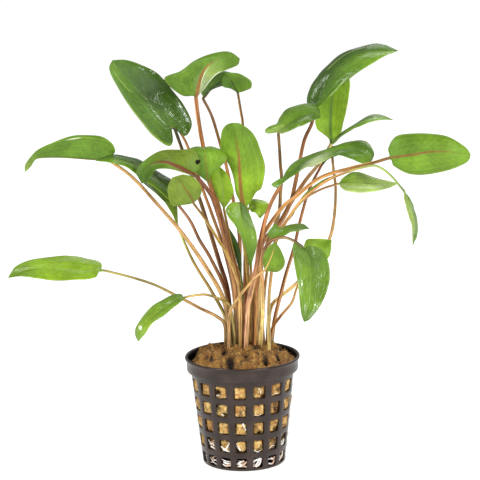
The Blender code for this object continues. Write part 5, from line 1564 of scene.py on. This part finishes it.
grow_leaf(
    "leaf_low_left", top_side=-1, thick=1.3, tone=0.9, browns="black olive gold",
    greens="mid fresh bright fresh", spot=(-47.6, 69.6, 1.0, (0.75, 0.82, 0.60), 0.9),
    foot=(-3.4, 0.8),
    stalk=[(-5, -3, 75), (-9.3, -6, 80.4), (-15.6, -9, 83.6), (-19.2, -10, 84.1), (-26, -12, 83.6)],
    left=[(-26.7, -16, 83.2), (-29.3, -18, 81.5), (-37.7, -20, 75.8), (-41.4, -19, 72.8), (-45, -17, 68)],
    rib=[(-31, -14, 82), (-38.5, -15, 77.5), (-45.5, -15, 71.3), (-48.4, -14, 66)],
    right=[(-28.8, -9, 84.4), (-36, -8, 82.6), (-43.3, -8, 77.4), (-48.4, -9, 71.5), (-50.4, -11, 65.8)],
    tip=(-48.7, -13, 62.7))

# Many fine white roots have grown out of the wool and lie in the gap behind the lower windows. They
# run round the pot in bundles, and a few stray ones lie over the wool in the higher windows.
ROOT_THICK = 0.00040
BOLD_ROOT_THICK = 0.00090
ROOTS_IN_BUNDLE = 6
ROOT_STEPS = 22
ROOT_DEPTH = 2.2
ROOT_BULGE = 1.1
ROOT_LIFT = 1.9
ROOT_SPREAD = 0.7
ROOT_SLOPE = 0.16
ROOT_WAVE = 0.9
ROOT_LOWEST = 1.9
ROOT_HIGHEST = 16.5
# Each bundle's route, as turns in degrees and heights.
ROOT_BUNDLES = {
    "root_front_low": [(-130, 4.8), (-96, 3.4), (-60, 5.0)],
    "root_front_high": [(-124, 10.2), (-102, 12.0), (-72, 10.4)],
    "root_left_low": [(-184, 5.2), (-158, 3.6), (-124, 5.6)],
    "root_left_high": [(-188, 13.5), (-160, 10.4), (-126, 12.4)],
    "root_right_low": [(-72, 4.0), (-36, 3.4), (6, 5.4)],
    "root_right_high": [(-66, 12.6), (-34, 10.8), (-2, 11.8)],
    "root_back": [(44, 4.2), (90, 5.5), (136, 4.0)],
}
# Single roots in front of the wool: the window's column and row, then places in the window, sideways
# and upwards.
FINE_ROOTS = [
    (-1, 4, [(-1.1, 0.14), (-0.5, 0.30), (-0.1, 0.16)]), (2, 4, [(-0.9, 0.12), (0.0, 0.22), (0.7, 0.12)]),
    (1, 4, [(-0.2, 0.90), (0.1, 0.66), (0.2, 0.42)]), (-1, 3, [(-0.9, 0.10), (-0.2, 0.20), (0.3, 0.10)]),
    (1, 3, [(-0.9, 0.16), (-0.2, 0.10), (0.4, 0.22)]), (-2, 1, [(-0.9, 0.70), (0.0, 0.56), (0.9, 0.62)]),
    (1, 1, [(-0.9, 0.20), (-0.2, 0.04), (0.6, 0.14)]), (-2, 0, [(-0.9, 0.64), (0.0, 0.46), (0.9, 0.60)]),
    (-2, 0, [(-0.8, 0.20), (0.1, 0.34), (0.9, 0.14)]), (-1, 0, [(-1.0, 0.80), (0.0, 0.70), (1.0, 0.64)]),
    (2, 1, [(-0.9, 0.10), (-0.3, 0.34), (0.3, 0.30)]), (3, 1, [(-0.8, 0.40), (0.0, 0.52), (0.8, 0.44)])]
BOLD_ROOTS = [
    (-1, 0, [(-0.9, 0.26), (0.0, 0.18), (1.0, 0.26)]), (-1, 0, [(-0.6, 0.54), (0.2, 0.42), (1.0, 0.46)]),
    (0, 0, [(-1.0, 0.16), (0.0, 0.26), (1.0, 0.14)]), (0, 0, [(-0.7, 0.48), (0.2, 0.36), (1.0, 0.62)]),
    (0, 0, [(-1.0, 0.40), (-0.3, 0.64), (0.5, 0.76)]), (1, 0, [(-1.0, 0.14), (-0.3, 0.34), (0.3, 0.84)]),
    (1, 0, [(-0.5, 0.10), (0.3, 0.32), (0.8, 0.90)]), (1, 0, [(-1.0, 0.62), (-0.4, 0.78), (0.6, 0.92)]),
    (2, 0, [(-0.8, 0.20), (0.2, 0.14), (1.0, 0.36)]), (2, 0, [(-0.3, 0.74), (0.4, 0.58), (1.0, 0.70)]),
    (3, 0, [(-0.8, 0.14), (0.2, 0.50), (0.9, 0.92)]), (-2, 1, [(-0.4, 0.42), (0.4, 0.50), (0.7, 0.34)]),
    (-2, 1, [(-0.2, 0.24), (0.3, 0.20), (0.9, 0.06)]), (-1, 1, [(-1.0, 0.38), (0.0, 0.18), (1.0, 0.02)]),
    (-1, 1, [(-0.3, 0.14), (0.4, 0.38), (1.0, 0.80)]), (0, 1, [(-1.0, 0.80), (-0.6, 0.50), (-0.2, 0.20)]),
    (0, 2, [(0.4, 1.00), (0.6, 0.70), (0.9, 0.40)]), (3, 1, [(-0.6, 0.08), (0.1, 0.18), (0.8, 0.34)])]
FINE_DEPTH = 0.1
BOLD_DEPTH = 0.5
WINDOW_REACH = 0.92
WINDOW_SINK = 0.6
WINDOW_ROOT_POINTS = 9
ROOT_STAINS = [(0.46, (0.88, 0.85, 0.80, 1.0)), (0.62, (0.62, 0.42, 0.28, 1.0))]


def root_tree():
    """Gives every line of a mesh a round section."""
    tree, start = new_tree("round strands", {"Thickness": "Float", "Root": "Material"})
    lines = put(tree, "GeometryNodeMeshToCurve", {"Mesh": start["Geometry"]})
    strands = round_strand(tree, lines["Curve"], start["Thickness"], 6)
    real = put(tree, "GeometryNodeRealizeInstances", {"Geometry": strands})
    finish_tree(tree, real["Geometry"], start["Root"])
    return tree


def lay_strands(name, strands, thickness):
    """One piece of round strands that follow lines of places in millimetres."""
    points, edges = [], []
    for strand in strands:
        edges += [(len(points) + step, len(points) + step + 1) for step in range(len(strand) - 1)]
        points += [tuple(np.array(place) * MM) for place in strand]
    mesh = bpy.data.meshes.new(name)
    mesh.from_pydata(points, edges, [])
    piece = add_object(name, mesh)
    grow(piece, strand_section, {"Thickness": thickness, "Root": root_look})
    turn_out(piece)
    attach(piece, "root")
    return piece


def round_the_pot(turn, radius, height):
    """The place at a turn about the pot's axis, in millimetres."""
    return (radius * math.cos(turn), radius * math.sin(turn), height)


def bundle_strands(route, chance):
    """Roots that wander along a bundle's route and swell out into the windows that they pass."""
    line = smooth_curve([(*stop, 0.0) for stop in route], ROOT_STEPS * 2)
    strands = []
    for number in range(ROOTS_IN_BUNDLE):
        first = chance.randrange(0, ROOT_STEPS)
        last = min(first + chance.randrange(ROOT_STEPS // 2, ROOT_STEPS * 3 // 2), len(line))
        lift = chance.uniform(-ROOT_LIFT, ROOT_LIFT)
        depth = chance.uniform(0.0, ROOT_SPREAD)
        slope = chance.uniform(-ROOT_SLOPE, ROOT_SLOPE)
        strand = []
        for step in range(first, last):
            turn = math.radians(line[step][0])
            wave = ROOT_WAVE * noise.noise((step * 0.15, number * 3.7, route[0][1]))
            height = line[step][1] + lift + wave + slope * (step - first)
            height = min(max(height, ROOT_LOWEST), ROOT_HIGHEST)
            share = window_share(turn, height)[0]
            radius = wall_radius(height) - ROOT_DEPTH - depth * (1 - 0.5 * share) + ROOT_BULGE * share
            strand.append(round_the_pot(turn, radius, height))
        strands.append(strand)
    return strands


def window_strands(roots, inside):
    """Single roots that lie in windows, `inside` millimetres behind the wall's face."""
    strands = []
    for column, row, places in roots:
        foot = max(WINDOW_TOPS[row] - WINDOW_HEIGHT, LOWEST_WINDOW_FOOT)
        stops = []
        for across, up in places:
            height = foot + up * (WINDOW_TOPS[row] - foot)
            turn = FIRST_COLUMN + column * PITCH + across * HALF_WINDOW * WINDOW_REACH
            radius = wall_radius(height) - inside - WINDOW_SINK * across ** 2
            stops.append(round_the_pot(turn, radius, height))
        strands.append(smooth_curve(stops, WINDOW_ROOT_POINTS))
    return strands


def root_skin_group():
    """White root skin with tan and pinkish stains."""
    group, start, place = new_group("root skin", (), ("Gloss",))
    stains = cloudy(group, place, scale=330.0, detail=3.0)
    put(group, "NodeGroupOutput", {"Colour": ramp_of(group, stains, ROOT_STAINS),
                                   "Roughness": maths_in(group)("ADD", start["Gloss"], stains),
                                   "Height": stains})
    return group


strand_section = root_tree()
root_look = dress("root_skin", root_skin_group(), {"Gloss": 0.0}, bump=0.3)
chance = random.Random(11)
for root_name, route in ROOT_BUNDLES.items():
    bundle = lay_strands(root_name + "_bundle", bundle_strands(route, chance), ROOT_THICK)
    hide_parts(root_name)
lay_strands("fine_roots", window_strands(FINE_ROOTS, FINE_DEPTH), ROOT_THICK)
lay_strands("bold_roots", window_strands(BOLD_ROOTS, BOLD_DEPTH), BOLD_ROOT_THICK)

# One young shoot stands by itself at the right of the crown, pale green at its foot and dark at its
# pointed tip.
SHOOT_ROUTE = [(15.5, 3.6, 50.6), (15.3, 3.6, 54.0), (15.0, 3.6, 56.4), (14.6, 3.6, 58.2)]
SHOOT_RADII = [0.75, 0.72, 0.80, 0.12]
SHOOT_RINGS = 14
SHOOT_COLOURS = [(0.3, (0.42, 0.50, 0.12, 1.0)), (0.8, (0.06, 0.14, 0.03, 1.0))]

shoot_points = []
for number, place in enumerate(smooth_curve(SHOOT_ROUTE, SHOOT_RINGS)):
    radius = np.interp(number / (SHOOT_RINGS - 1), np.linspace(0, 1, len(SHOOT_RADII)), SHOOT_RADII)
    ring = round_ring(place, radius, np.array((1.0, 0.0, 0.0)), np.array((0.0, 1.0, 0.0)))
    shoot_points += [tuple(point * MM) for point in ring]
shoot_mesh = bpy.data.meshes.new("young_shoot")
shoot_ends = [tuple(range(RING)), tuple(range(len(shoot_points) - RING, len(shoot_points)))]
shoot_mesh.from_pydata(shoot_points, [], shoot_ends + ring_faces(SHOOT_RINGS, RING))
keep(shoot_mesh, "tone", [number // RING / (SHOOT_RINGS - 1) for number in range(len(shoot_points))])
shoot_mesh.materials.append(toned_look("shoot_skin", SHOOT_COLOURS, 0.4))
shoot = add_object("young_shoot", shoot_mesh)
turn_out(shoot)
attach(shoot, "root")
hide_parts("sprout")
